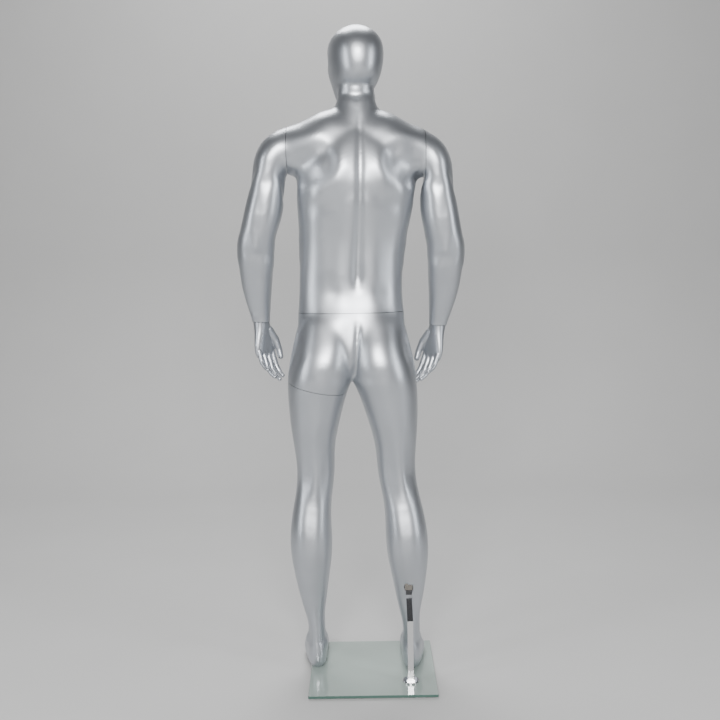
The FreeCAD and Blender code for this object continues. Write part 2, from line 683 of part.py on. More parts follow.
def support_bar(foot_z):
    path = [Vector(BAR_X, BAR_Y, foot_z), Vector(BAR_X, BAR_Y, BAR_KNEE_Z), ELBOW,
            ELBOW + TIP_WAY * BAR_TIP]
    solids = []
    for half in (BAR_SIDE / 2, BAR_SIDE / 2 - BAR_WALL):
        width = 2 * half
        face = Part.Face(Part.makePolygon(mitred_outline(path, half)))
        face.translate(Vector(-width / 2, 0, 0))
        solids.append(face.extrude(Vector(width, 0, 0)))
    tube, hollow = solids
    plug = square_bar(path[0], UP, ACROSS, BAR_SIDE, BAR_PLUG)
    cap = square_bar(path[-1] - TIP_WAY * BAR_CAP, TIP_WAY, ACROSS, BAR_SIDE, BAR_CAP)
    return tube.cut(hollow).fuse([plug, cap])


def calf_socket():
    mouth = ELBOW + TIP_WAY * SOCKET_START
    outer = BAR_SIDE + 2 * (SOCKET_WALL + RUN)
    deep = BAR_TIP - SOCKET_START
    tube = square_bar(mouth, TIP_WAY, ACROSS, outer, deep + SOCKET_END)
    bore = square_bar(mouth, TIP_WAY, ACROSS, BAR_SIDE + 2 * RUN, deep)
    return tube.cut(bore), tube


def small_screw(point, play=0.0):
    """Countersunk screw of the flange, with its head flush with point, or the hole for it."""
    head = Part.makeCone(SMALL_HEAD + play, SMALL_SHANK + play, SMALL_HEAD_DEEP, point, DOWN)
    return head.fuse(cylinder(point, DOWN, SMALL_SHANK + play, SMALL_LONG + play))


def base_parts():
    glass_low = Vector(PLATE_X - PLATE_SIDE / 2, PLATE_REAR - PLATE_SIDE, PAD_HIGH)
    glass_high = glass_low + Vector(PLATE_SIDE, PLATE_SIDE, PLATE_THICK)
    glass = slab(glass_low, glass_high)
    glass = glass.makeChamfer(GLASS_CHAMFER, glass.Edges)
    foot = Vector(BAR_X, BAR_Y, 0)
    gasket_z, flange_z = SOLE, SOLE + GASKET_THICK
    bar_z = flange_z + FLANGE_THICK
    glass = glass.cut(cylinder(foot, UP, GLASS_HOLE, 2 * SOLE))
    pads = []
    for across in (0, 1):
        for along in (0, 1):
            x = glass_low.x + PAD_INSET + across * (PLATE_SIDE - 2 * PAD_INSET)
            y = glass_low.y + PAD_INSET + along * (PLATE_SIDE - 2 * PAD_INSET)
            pads.append(cylinder(Vector(x, y, 0), UP, PAD_RADIUS, PAD_HIGH))
    gasket = cylinder(foot + UP * gasket_z, UP, FLANGE_RADIUS - 1, GASKET_THICK)
    gasket = gasket.cut(cylinder(foot, UP, GLASS_HOLE, 2 * SOLE))
    flange = cylinder(foot + UP * flange_z, UP, FLANGE_RADIUS, FLANGE_THICK)
    rim = [e for e in flange.Edges if abs(e.BoundBox.ZMin - bar_z) < 0.01]
    flange = flange.makeChamfer(FLANGE_CHAMFER, rim[:1])
    flange_points = circle_points(foot + UP * bar_z, ACROSS, BACK, FLANGE_SCREWS, 2)
    small = [small_screw(point) for point in flange_points]
    small_holes = [small_screw(point, SCREW_PLAY) for point in flange_points]
    flange = flange.cut([cylinder(foot, UP, BOLT_HOLE, 2 * SOLE)] + small_holes)
    collar = slab(Vector(BAR_X - COLLAR_SIDE / 2, BAR_Y - COLLAR_SIDE / 2, bar_z),
                  Vector(BAR_X + COLLAR_SIDE / 2, BAR_Y + COLLAR_SIDE / 2, bar_z + COLLAR_HIGH))
    collar = collar.cut(square_bar(foot, UP, ACROSS, BAR_SIDE, BAR_KNEE_Z / 2))
    bolt_low = foot + UP * (PAD_HIGH - WASHER_THICK)
    washer = cylinder(bolt_low, UP, WASHER_RADIUS, WASHER_THICK)
    washer = washer.cut(cylinder(foot, UP, BOLT_HOLE, 2 * SOLE))
    bolt = cylinder(bolt_low, DOWN, BOLT_HEAD, BOLT_HEAD_HIGH)
    key = square_bar(bolt_low - UP * BOLT_HEAD_HIGH, UP, ACROSS, BOLT_KEY, BOLT_KEY_DEEP)
    bolt = bolt.cut(key).fuse(cylinder(bolt_low, UP, BOLT_RADIUS, BOLT_LONG))
    thread = cylinder(foot, UP, BOLT_RADIUS + RUN / 2, bolt_low.z + BOLT_LONG + 1)
    bar = support_bar(bar_z).cut(thread)
    return {
        "base_plate": glass,
        "base_pads": Part.makeCompound(pads),
        "flange_gasket": gasket,
        "support_flange": flange,
        "flange_screws": Part.makeCompound(small),
        "support_collar": collar,
        "support_bar": bar,
        "base_washer": washer,
        "base_bolt": bolt,
    }


# ---- shells --------------------------------------------------------------------------------------
def hollow(outer, cavity):
    """Closed shell of one outer form and the space inside it."""
    return one_solid(outer.cut(cavity))


def lower_shells():
    """Pelvis with the right leg, and the loose left leg."""
    left, right = leg_solid(1), leg_solid(-1)
    left_hollow, right_hollow = leg_cavity(1), leg_cavity(-1)
    above_thigh = beyond(thigh_high, THIGH_NORMAL)
    below_thigh = beyond(thigh_low, THIGH_NORMAL * -1)
    above_waist = beyond(waist_low, UP)
    belly, belly_hollow = loft(oval_rings(BELLY, 0.0)), loft(oval_rings(BELLY[:-2], WALL))
    pelvis = left.fuse(belly).common(above_thigh).fuse(right).cut(above_waist)
    leg = left.common(below_thigh)
    space = left_hollow.fuse(belly_hollow)
    space = space.common(beyond(thigh_high + THIGH_NORMAL * END_FACE, THIGH_NORMAL))
    space = space.fuse(right_hollow).cut(beyond(waist_low - UP * END_FACE, UP))
    waist_boss = cylinder(waist_low, DOWN, WAIST_DISC + BOSS, SCREW_LONG + BOSS)
    thigh_boss = cylinder(thigh_high, THIGH_NORMAL, THIGH_DISC + BOSS, THIGH_PIN_LONG + 9)
    socket, socket_outside = calf_socket()
    calf = slab(Vector(-PLATE_SIDE, -20, CALF_SOLID[0]), Vector(0, PLATE_REAR, CALF_SOLID[1]))
    space = space.cut([waist_boss, thigh_boss, calf])
    leg_space = left_hollow.common(beyond(thigh_low - THIGH_NORMAL * END_FACE, THIGH_NORMAL * -1))
    leg_boss = cylinder(thigh_low, THIGH_NORMAL * -1, THIGH_DISC + BOSS, SCREW_LONG + BOSS)
    return hollow(pelvis, space), hollow(leg, leg_space.cut(leg_boss)), socket, socket_outside


def build():
    parts = base_parts()

    post, post_screws = waist_post()
    waist_cup, waist_cut, cup_screws = waist_socket()
    pin, pin_screws = thigh_pin()
    cup, cup_cut, thigh_cup_screws = thigh_cup()
    pelvis, leg, socket, socket_outside = lower_shells()
    entry = square_bar(ELBOW - TIP_WAY * ENTRY_LONG, TIP_WAY, ACROSS, BAR_SIDE + 2 * ENTRY_PLAY,
                       ENTRY_LONG + SOCKET_START)
    low_points = circle_points(waist_low, ACROSS, BACK, WAIST_SCREWS, 4)
    thigh_points = circle_points(thigh_high, THIGH_ACROSS, THIGH_OTHER, THIGH_SCREWS, 3)
    pelvis = pelvis.cut([cylinder(waist_low, DOWN, WAIST_DISC, WAIST_DISC_THICK), cup_cut,
                         socket_outside, entry] + holes(low_points, DOWN)
                        + holes(thigh_points, THIGH_NORMAL))
    leg_points = circle_points(thigh_low, THIGH_ACROSS, THIGH_OTHER, THIGH_SCREWS, 3)
    down_thigh = THIGH_NORMAL * -1
    leg = leg.cut([cylinder(thigh_low, down_thigh, THIGH_DISC, THIGH_DISC_THICK)]
                  + holes(leg_points, down_thigh))
    parts.update({
        "pelvis_and_right_leg": one_solid(pelvis),
        "left_leg": one_solid(leg),
        "calf_socket": socket,
        "waist_post": post,
        "waist_post_screws": post_screws,
        "left_thigh_pin": pin,
        "left_thigh_pin_screws": pin_screws,
        "left_thigh_cup": cup,
        "left_thigh_cup_screws": thigh_cup_screws,
    })

    torso = torso_solid().cut([beyond(waist_high, DOWN)] + [
        beyond(shoulder_centre(side) - Vector(side * SEAM_GAP / 2, 0, 0), Vector(side, 0, 0))
        for side in (1, -1)])
    space = torso_solid(WALL).cut([beyond(waist_high + UP * END_FACE, DOWN)] + [
        beyond(shoulder_centre(side) - Vector(side * END_FACE, 0, 0), Vector(side, 0, 0))
        for side in (1, -1)])
    bosses = [cylinder(waist_high, UP, WAIST_DISC + BOSS, WAIST_TUBE_HIGH + BOSS)]
    cuts = [waist_cut] + holes(circle_points(waist_high, ACROSS, BACK, WAIST_SCREWS, 4), UP)
    wrist = wrist_fittings()
    left_arm = arm_solid()
    left_space = arm_solid(WALL)
    left_hand = hand_solid()
    for side in (1, -1):
        fit = shoulder_fittings(side)
        middle = shoulder_centre(side)
        outwards = Vector(side, 0, 0)
        deep = SHOULDER_DISC_THICK + CHAMBER_DEEP + BOSS
        bosses.append(cylinder(middle, outwards * -1, SHOULDER_DISC + BOSS, deep))
        cuts += fit["torso_cut"]

        beyond_seam = inside_shoulder(side, -SEAM_GAP / 2)
        beyond_end = inside_shoulder(side, -END_FACE)
        above_wrist = beyond(WRIST + UP * (SEAM_GAP / 2), DOWN)
        solid_wrist = beyond(WRIST + UP * (SLEEVE_LONG + BOSS), DOWN)
        arm = place_arm(left_arm.cut(above_wrist), side).cut(beyond_seam)
        arm_space = place_arm(left_space.cut(solid_wrist), side).cut(beyond_end)
        boss = cylinder(middle, outwards, SHOULDER_DISC + BOSS, SCREW_LONG + BOSS)
        arm = hollow(arm, arm_space.cut(boss))
        sleeve_cut = [place_arm(cutter, side) for cutter in wrist["arm_cut"]]
        hand = left_hand.cut([beyond(WRIST - UP * (SEAM_GAP / 2), UP)] + wrist["hand_cut"])

        name = SIDE_NAME[side]
        parts.update({
            name + "_shoulder_plate": fit["torso_plate"],
            name + "_shoulder_plate_screws": fit["torso_screws"],
            name + "_arm": one_solid(arm.cut(fit["arm_cut"] + sleeve_cut)),
            name + "_arm_lug": fit["arm_lug"],
            name + "_arm_lug_screws": fit["arm_screws"],
            name + "_wrist_sleeve": place_arm(wrist["sleeve"], side),
            name + "_wrist_post": place_arm(wrist["post"], side),
            name + "_hand": place_arm(one_solid(hand), side),
        })
    parts.update({
        "torso_and_head": one_solid(hollow(torso, space.cut(bosses)).cut(cuts)),
        "waist_socket": waist_cup,
        "waist_socket_screws": cup_screws,
    })
    return parts


for part_name, part_shape in build().items():
    save(part_name, part_shape)
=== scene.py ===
"""Looks of the display mannequin: a silver lacquered figure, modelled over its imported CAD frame.

The five big shells of the frame are welded into one figure, which is shaped like clay with
strokes of a soft tool and then cut apart again at the frame's own seams, so the pieces match at
every seam and move with their bodies. The hands are smoothed on their own, at a finer grain.
Shaping is done in millimetres from the figure's middle line: its left is +X and it faces -Y.
"""

import json
import math

import bmesh
import bpy
import numpy as np
from mathutils import Matrix, Vector


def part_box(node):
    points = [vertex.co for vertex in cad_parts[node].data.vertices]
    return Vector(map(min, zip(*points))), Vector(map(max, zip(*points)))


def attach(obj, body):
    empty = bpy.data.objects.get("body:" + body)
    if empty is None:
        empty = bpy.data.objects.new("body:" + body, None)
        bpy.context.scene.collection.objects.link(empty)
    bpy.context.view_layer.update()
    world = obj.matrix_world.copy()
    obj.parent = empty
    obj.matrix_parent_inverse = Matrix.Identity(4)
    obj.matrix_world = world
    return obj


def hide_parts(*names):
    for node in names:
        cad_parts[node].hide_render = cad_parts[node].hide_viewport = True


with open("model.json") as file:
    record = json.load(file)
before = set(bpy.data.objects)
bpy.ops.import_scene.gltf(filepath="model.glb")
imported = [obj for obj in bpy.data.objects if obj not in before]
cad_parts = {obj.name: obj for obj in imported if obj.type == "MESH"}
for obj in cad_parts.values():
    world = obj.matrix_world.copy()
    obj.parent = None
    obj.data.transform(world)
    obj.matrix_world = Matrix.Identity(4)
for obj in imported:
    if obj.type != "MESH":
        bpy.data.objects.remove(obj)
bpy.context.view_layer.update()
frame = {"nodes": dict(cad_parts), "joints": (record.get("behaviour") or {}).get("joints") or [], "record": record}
NODES = frame["nodes"]
JOINTS = {joint["name"]: joint for joint in frame["joints"]}

MM = 0.001
BODY_GRAIN = 2.8 * MM     # size of the faces of the figure, and of the hands
HAND_GRAIN = 1.4 * MM
SEAM = 1.3 * MM           # width of the seams that show
SIDES = (1, -1)
NAME = {1: "left", -1: "right"}

SHOULDER = {side: Vector(JOINTS[NAME[side] + "_arm_turn"]["pos_m"]) for side in SIDES}
WRIST = {side: Vector(JOINTS[NAME[side] + "_hand_turn"]["pos_m"]) for side in SIDES}
ARM_DOWN = {side: Vector(JOINTS[NAME[side] + "_hand_turn"]["axis"]) for side in SIDES}
SHOULDERS_OFF = 2 * MM    # how far the middle of the shoulders lies from the figure's origin
SHOULDERS_MIDDLE = (SHOULDER[1] + SHOULDER[-1]) / 2
FIGURE = Vector((SHOULDERS_MIDDLE.x - SHOULDERS_OFF, SHOULDERS_MIDDLE.y - SHOULDERS_OFF, 0))
WAIST_Z = (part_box("waist_socket")[0].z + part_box("waist_post_screws")[1].z) / 2
THIGH_UP = Vector((-0.209, 0.10, 1.0)).normalized()   # square to the seam of the left thigh
SOLE_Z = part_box("base_plate")[1].z

BAR_LOW, BAR_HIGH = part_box("support_bar")
SOCKET_LOW, SOCKET_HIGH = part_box("calf_socket")
BAR_HALF = (BAR_HIGH.x - BAR_LOW.x) / 2
BAR_X = (BAR_HIGH.x + BAR_LOW.x) / 2
BAR_LEAN = math.radians(18)     # of the bar's upper end, which goes into the calf
BAR_WAY = Vector((0, -math.sin(BAR_LEAN), math.cos(BAR_LEAN)))

BACK, AHEAD, UP = (0, 1, 0), (0, -1, 0), (0, 0, 1)
ARM_LEAN = math.radians(-2.4)   # of the hanging arms
TOE_OUT = {1: math.radians(4), -1: math.radians(3)}
FOOT_BACK = {1: 26.0, -1: 41.0}  # how far each ankle lies behind the middle line
HEAD_TURN = math.radians(16)    # to the figure's left
FACE_AHEAD = (math.sin(HEAD_TURN), -math.cos(HEAD_TURN), 0)


# ---- meshes as arrays ---------------------------------------------------------------------------
def points_of(mesh):
    co = np.empty(len(mesh.vertices) * 3)
    mesh.vertices.foreach_get("co", co)
    return co.reshape(-1, 3)


def edges_of(mesh):
    ends = np.empty(len(mesh.edges) * 2, np.int32)
    mesh.edges.foreach_get("vertices", ends)
    return ends.reshape(-1, 2)


def islands(count, edges):
    """Number of the connected island that each vertex belongs to."""
    label = np.arange(count)
    while True:
        new = label.copy()
        low = np.minimum(label[edges[:, 0]], label[edges[:, 1]])
        np.minimum.at(new, edges[:, 0], low)
        np.minimum.at(new, edges[:, 1], low)
        new = new[new[new]]
        if np.array_equal(new, label):
            return label
        label = new


def keep_vertices(mesh, keep):
    """Leave only the vertices marked true."""
    bm = bmesh.new()
    bm.from_mesh(mesh)
    doomed = [v for v in bm.verts if not keep[v.index]]
    bmesh.ops.delete(bm, geom=doomed, context="VERTS")
    bm.to_mesh(mesh)
    bm.free()


def object_of(name, mesh):
    piece = bpy.data.objects.new(name, mesh)
    bpy.context.scene.collection.objects.link(piece)
    return piece


def discard(piece):
    mesh = piece.data
    bpy.data.objects.remove(piece)
    bpy.data.meshes.remove(mesh)


def applied(piece):
    """Mesh of the piece with its modifiers applied."""
    bpy.context.view_layer.update()
    depsgraph = bpy.context.evaluated_depsgraph_get()
    return bpy.data.meshes.new_from_object(piece.evaluated_get(depsgraph))


def outer_skin(node):
    """The outside of a hollow CAD shell, welded, as a new mesh."""
    bm = bmesh.new()
    bm.from_mesh(NODES[node].data)
    bmesh.ops.remove_doubles(bm, verts=bm.verts, dist=0.005 * MM)
    mesh = bpy.data.meshes.new(node + "_skin")
    bm.to_mesh(mesh)
    bm.free()
    label = islands(len(mesh.vertices), edges_of(mesh))
    co = points_of(mesh)
    spans = {k: np.ptp(co[label == k], axis=0).sum() for k in np.unique(label)}
    keep_vertices(mesh, label == max(spans, key=spans.get))
    return mesh


def hull_of(node):
    bm = bmesh.new()
    bm.from_mesh(NODES[node].data)
    made = bmesh.ops.convex_hull(bm, input=bm.verts)["geom"]
    kept = {item for item in made if isinstance(item, bmesh.types.BMFace)}
    bmesh.ops.delete(bm, geom=[f for f in bm.faces if f not in kept], context="FACES")
    mesh = bpy.data.meshes.new(node + "_hull")
    bm.to_mesh(mesh)
    bm.free()
    return mesh


def push_cap(mesh, centre, way, far, reach):
    """Move the flat cap that lies at centre, square to way, further out."""
    co = points_of(mesh)
    off = co - np.array(centre)
    along = off @ np.array(way)
    aside = np.linalg.norm(off - np.outer(along, way), axis=1)
    on_cap = (np.abs(along) < 0.9 * MM) & (aside < reach)
    co[on_cap] += np.array(way) * far
    mesh.vertices.foreach_set("co", co.ravel())


def remeshed(name, meshes, grain):
    """One closed mesh of even faces round all the given ones."""
    bm = bmesh.new()
    for mesh in meshes:
        bm.from_mesh(mesh)
    bmesh.ops.recalc_face_normals(bm, faces=bm.faces)
    joined = bpy.data.meshes.new(name)
    bm.to_mesh(joined)
    bm.free()
    piece = object_of(name + "_joined", joined)
    modifier = piece.modifiers.new("grain", "REMESH")
    modifier.mode, modifier.voxel_size = "VOXEL", grain
    mesh = applied(piece)
    discard(piece)
    label = islands(len(mesh.vertices), edges_of(mesh))
    keep_vertices(mesh, label == np.bincount(label).argmax())
    return mesh


# ---- clay ---------------------------------------------------------------------------------------
def ramp(t):
    t = np.clip(t, 0, 1)
    return t * t * (3 - 2 * t)


class Clay:
    """A mesh that is shaped in millimetres from an origin, with soft round strokes."""

    def __init__(self, mesh, origin):
        self.mesh = mesh
        self.origin = np.array(origin)
        self.co = (points_of(mesh) - self.origin) / MM
        self.edges = edges_of(mesh)
        self.degree = np.maximum(np.bincount(self.edges.ravel(), minlength=len(self.co)), 1)
        self.refresh()

    def store(self):
        self.mesh.vertices.foreach_set("co", (self.co * MM + self.origin).ravel())
        self.mesh.update()

    def refresh(self):
        """Take the normals of the present shape."""
        self.store()
        normals = np.empty(len(self.co) * 3, np.float32)
        self.mesh.vertex_normals.foreach_get("vector", normals)
        self.normal = normals.reshape(-1, 3).astype(float)

    def average(self):
        a, b = self.edges.T
        total = np.empty_like(self.co)
        for axis in range(3):
            values = self.co[:, axis]
            total[:, axis] = np.bincount(a, values[b], len(values))
            total[:, axis] += np.bincount(b, values[a], len(values))
        return total / self.degree[:, None]

    def soften(self, passes, weight=1.0, step=0.6):
        for _ in range(passes):
            self.co += (self.average() - self.co) * (np.reshape(weight, (-1, 1)) * step)

    def polish(self, passes):
        """Even out the surface without shrinking it."""
        for _ in range(passes):
            self.soften(1, 1.0, 0.5)
            self.soften(1, 1.0, -0.52)

    def nearness(self, path, radii, view=None, values=None):
        """Weight of every vertex near a path, and the value that the path has there.

        With a view direction, distance is measured as seen along it, on the faces that look back.
        """
        path = np.array(path, float)
        radii = np.broadcast_to(np.array(radii, float), len(path))
        values = np.ones(len(path)) if values is None else np.array(values, float)
        low, high = path.min(0) - 3 * radii.max(), path.max(0) + 3 * radii.max()
        if view is None:
            seen = np.arange(3)
        else:
            view = np.array(view, float) / np.linalg.norm(view)
            seen = [k for k in range(3) if abs(view[k]) < 0.35]
        inside = np.ones(len(self.co), bool)
        for k in seen:
            inside &= (self.co[:, k] > low[k]) & (self.co[:, k] < high[k])
        chosen = np.flatnonzero(inside)
        p = self.co[chosen]
        if view is not None:
            p = p - np.outer(p @ view, view)
            path = path - np.outer(path @ view, view)
        best = np.full(len(p), 1e9)
        value = np.zeros(len(p))
        radius = np.ones(len(p))
        starts, ends = (path[:-1], path[1:]) if len(path) > 1 else (path, path)
        last = min(1, len(path) - 1)
        for i, (a, b) in enumerate(zip(starts, ends)):
            run = b - a
            t = np.clip((p - a) @ run / max(run @ run, 1e-9), 0, 1)
            gap = np.linalg.norm(p - a - np.outer(t, run), axis=1)
            nearer = gap < best
            best[nearer] = gap[nearer]
            value[nearer] = (values[i] + (values[i + last] - values[i]) * t)[nearer]
            radius[nearer] = (radii[i] + (radii[i + last] - radii[i]) * t)[nearer]
        weight = np.exp(-(best / radius) ** 2)
        if view is not None:
            weight *= ramp((self.normal[chosen] @ view) / 0.45)
        return chosen, weight, value

    def stroke(self, path, radius, depth, view):
        """Raise (or with a negative depth press in) the surface along a path, as seen along view."""
        depths = depth if isinstance(depth, (list, tuple)) else [depth] * len(path)
        chosen, weight, value = self.nearness(path, radius, view, depths)
        self.co[chosen] += self.normal[chosen] * (weight * value)[:, None]

    def brush(self, place, view):
        """A stroke whose points are given in the way that place takes them."""
        def brush_stroke(points, radius, depth):
            self.stroke([place(*point) for point in points], radius, depth, view)
        return brush_stroke

    def soften_near(self, path, radius, passes):
        """Soften only what lies near a path."""
        chosen, weight, _ = self.nearness(path, radius)
        chosen, ease = chosen[weight > 0.02], 0.6 * np.minimum(1.6 * weight[weight > 0.02], 1)
        row = np.full(len(self.co), -1)
        row[chosen] = np.arange(len(chosen))
        ends = np.concatenate((self.edges, self.edges[:, ::-1]))
        ends = ends[row[ends[:, 0]] >= 0]
        for _ in range(passes):
            total = [np.bincount(row[ends[:, 0]], self.co[ends[:, 1], k], len(chosen)) for k in range(3)]
            mean = np.transpose(total) / self.degree[chosen, None]
            self.co[chosen] += (mean - self.co[chosen]) * ease[:, None]


# ---- the figure's lines -------------------------------------------------------------------------
SPINE_Z = (860, 890, 930, 972, 1006, 1043, 1108, 1162, 1230, 1298, 1365, 1430, 1530, 1580)
SPINE_X = (17, 15, 11, 7, 4, 4, 5, 3, 0, -4, -7, -9, -10, -8)
LEG_Z = (0, 200, 300, 400, 500, 600, 700, 800, 870)
LEG_U = (138, 139.5, 140, 138, 129, 116, 117, 105, 92)


def sway(z):
    rise = 2.5 + 22 * min(1, max(0, z / 850))
    return rise - 22.5 * float(ramp((z - 1090) / 360))


def spine(u, z):
    """Point at height z, u to the side of the line of the spine."""
    return (np.interp(z, SPINE_Z, SPINE_X) + u, 0, z)


def front(u, z):
    """Point at height z, u to the side of the middle of the chest and belly."""
    return (sway(z) + u, 0, z)


def leg(side, u, z):
    """Point u outwards of the middle line of a leg."""
    return (side * (np.interp(z, LEG_Z, LEG_U) + u) + sway(z), 0, z)


def arm(side, x, z, y=0):
    """Point given for the left arm hanging straight, taken to where this arm hangs."""
    centre = (SHOULDER[side] - FIGURE) / MM
    dx, dz = side * x + 10 - centre.x, z - 1494
    return (centre.x + dx * math.cos(ARM_LEAN) + dz * math.sin(ARM_LEAN), y,
            centre.z - dx * math.sin(ARM_LEAN) + dz * math.cos(ARM_LEAN))


def at_depth(point, y):
    return (point[0], y, point[2])


def clay_x(side):
    return (SHOULDER[side].x - FIGURE.x) / MM


def weld_figure():
    skins = {node: outer_skin(node) for node in
             ("torso_and_head", "pelvis_and_right_leg", "left_leg", "left_arm", "right_arm")}
    fill_calf_slot(skins["pelvis_and_right_leg"])
    plugs = [hull_of(NAME[side] + "_wrist_sleeve") for side in SIDES]
    for side, plug in zip(SIDES, plugs):
        for mesh in (skins[NAME[side] + "_arm"], plug):
            push_cap(mesh, WRIST[side], ARM_DOWN[side], 5 * MM, 60 * MM)
    return remeshed("figure", list(skins.values()) + plugs, BODY_GRAIN)


def fill_calf_slot(mesh):
    """Close the slot that the bar passes through; it is cut again, clean, after the shaping."""
    bm = bmesh.new()
    bm.from_mesh(mesh)
    reach = BAR_HALF + 1.4 * MM
    low, high = 180 * MM, 300 * MM

    def in_slot(v):
        return abs(v.co.x - BAR_X) < reach and low < v.co.z < high and v.co.y > SOCKET_LOW.y - 5 * MM

    doomed = [f for f in bm.faces if all(in_slot(v) for v in f.verts)]
    bmesh.ops.delete(bm, geom=doomed, context="FACES")
    loose = [v for v in bm.verts if not v.link_faces]
    bmesh.ops.delete(bm, geom=loose, context="VERTS")
    bmesh.ops.holes_fill(bm, edges=[e for e in bm.edges if e.is_boundary], sides=0)
    bmesh.ops.triangulate(bm, faces=[f for f in bm.faces if len(f.verts) > 4])
    bm.to_mesh(mesh)
    bm.free()


def refine(mesh, centre, size):
    """Split the faces once more in a box, where small forms follow."""
    bm = bmesh.new()
    bm.from_mesh(mesh)
    middle, half = Vector(centre), Vector(size) / 2
    chosen = [e for e in bm.edges
              if all(abs(v.co[k] - middle[k]) < half[k] for v in e.verts for k in range(3))]
    bmesh.ops.subdivide_edges(bm, edges=chosen, cuts=1, use_grid_fill=True)
    bm.to_mesh(mesh)
    bm.free()


def soften_joins(clay):
    """Melt the creases where the CAD forms meet."""
    for side in SIDES:
        for y in (-45, 0, 45):
            clay.soften_near([(side * 40, y, 1580), (side * 75, y, 1600)], 26, 40)
        clay.soften_near([(side * 30, -70, 1540), (side * 120, -75, 1430), (side * 160, -60, 1400)],
                         30, 45)
        clay.soften_near([(side * 20, 85, 1590), (side * 90, 90, 1440), (side * 160, 70, 1420)], 26, 40)
        x = clay_x(side)
        clay.soften_near([(x, -60, 1540), (x, 0, 1560), (x, 60, 1540)], 22, 30)
        clay.soften_near([(x, -66, 1500), (x, -55, 1440)], 20, 25)
        clay.soften_near([(x, 66, 1500), (x, 55, 1440)], 20, 25)
        clay.soften_near([at_depth(leg(side, 0, 140), 35), leg(side, 0, 120)], 30, 25)
        clay.soften_near([(side * 152, -40, 1410), (side * 152, 50, 1410)], 26, 50)
    clay.soften_near([(-60, 60, 1000), (0, 60, 1010), (90, 60, 1000)], 40, 30)
    clay.soften_near([(24, -95, 1000), (24, -85, 900), (24, -50, 862)], 40, 40)
    clay.soften_near([(24, 0, 1043), (-130, 0, 1030), (178, 0, 1030)], 30, 20)
    clay.soften_near([(-25, 85, 1030), (5, 85, 990), (35, 85, 1030)], 36, 60)
    clay.soften_near([(0, -60, 1600), (0, -50, 1580)], 35, 40)
    for side in SIDES:
        clay.soften_near([(sway(1035) + side * 90, 50, 1040), (sway(1035) + side * 140, 0, 1040),
                          (sway(1035) + side * 90, -80, 1040)], 26, 25)


def shape_back(clay):
    for u in (-55, 0, 55):
        clay.soften_near([at_depth(spine(u, z), 85) for z in (1400, 1250, 1090)], 45, 40)
    clay.stroke([spine(-80, 1262), spine(80, 1262)], 80, -10, BACK)
    for side in SIDES:
        pair = clay.brush(lambda u, z: spine(side * u, z), BACK)
        pair([(36, 1340), (42, 1240), (44, 1150), (42, 1085)], 26, (1, 3, 4, 2))
        pair([(120, 1350), (110, 1260), (100, 1180)], 34, (1.5, 3, 1))
        pair([(44, 1560), (44, 1500), (46, 1440), (54, 1390)], 24, (0.5, 4, 5, 1))
        pair([(166, 1516), (120, 1520), (82, 1500), (60, 1455), (74, 1406), (116, 1380), (158, 1388)],
             22, (3, 4, 3, 3, 5, 6, 4))
        pair([(20, 1372), (62, 1348), (130, 1334)], 24, (-2, -3, -2))
        pair([(62, 1100)], 20, -1.5)
        pair([(66, 1070), (95, 1010), (118, 975)], 26, (-0.5, -2, -0.5))
    clay.refresh()
    for side in SIDES:
        fine = clay.brush(lambda u, z: spine(side * u, z), BACK)
        fine([(150, 1506), (108, 1502), (84, 1476), (79, 1446), (90, 1412)], 13,
             (-1.5, -5, -6, -5.5, -1.5))
        fine([(116, 1476), (140, 1475), (166, 1472)], 18, (-3, -6, -3))
        fine([(116, 1414), (146, 1413)], 15, (-4, -4))
        clay.soften_near([at_depth(spine(side * u, z), 88) for u, z in
                          ((150, 1490), (100, 1495), (76, 1450), (110, 1455), (100, 1400), (140, 1400))],
                         40, 66)
        clay.soften_near([(side * 150, 60, 1420), (side * 150, 72, 1380)], 24, 40)
    clay.stroke([spine(0, z) for z in (1590, 1540, 1450, 1365, 1300, 1200, 1140, 1114)],
                (8, 9, 10, 10.5, 11.5, 13, 14, 14), (-0.5, -3.5, -5, -5.5, -6, -6.5, -7, -3), BACK)
    clay.refresh()


def shape_hips(clay):
    for side in SIDES:
        pair = clay.brush(lambda u, z: spine(side * u, z), BACK)
        pair([(48, 1022), (100, 1018)], 36, 6)
        pair([(60, 945), (66, 920)], 44, 4)
        pair([(6, 872), (34, 864), (62, 866), (92, 876)], 11, (-5, -4.5, -2.5, -0.5))
        pair([(78, 812), (80, 740)], 44, 3)
        clay.stroke([(0, 28, 985), (0, 34, 925), (0, 26, 880)], 24, (-2, -5, -2), (side, 0.25, 0))
        clay.stroke([(0, 52, 975), (0, 46, 925), (0, 40, 880)], 6, (-0.8, -2, -0.8), (side, 0.25, 0))
        clay.soften_near([at_depth(spine(side * u, z), 88) for u, z in
                          ((30, 1020), (24, 960), (26, 900), (80, 930), (110, 980), (70, 1040))], 42, 45)
    clay.soften_near([at_depth(spine(0, z), 70) for z in (1020, 960, 900)], 34, 70)
    clay.refresh()
    clay.stroke([spine(0, z) for z in (1025, 1000, 965, 925, 893, 868)], (9, 7.5, 6.5, 6, 6, 7),
                (-0.5, -3.5, -7, -10, -12, -9), BACK)
    clay.refresh()


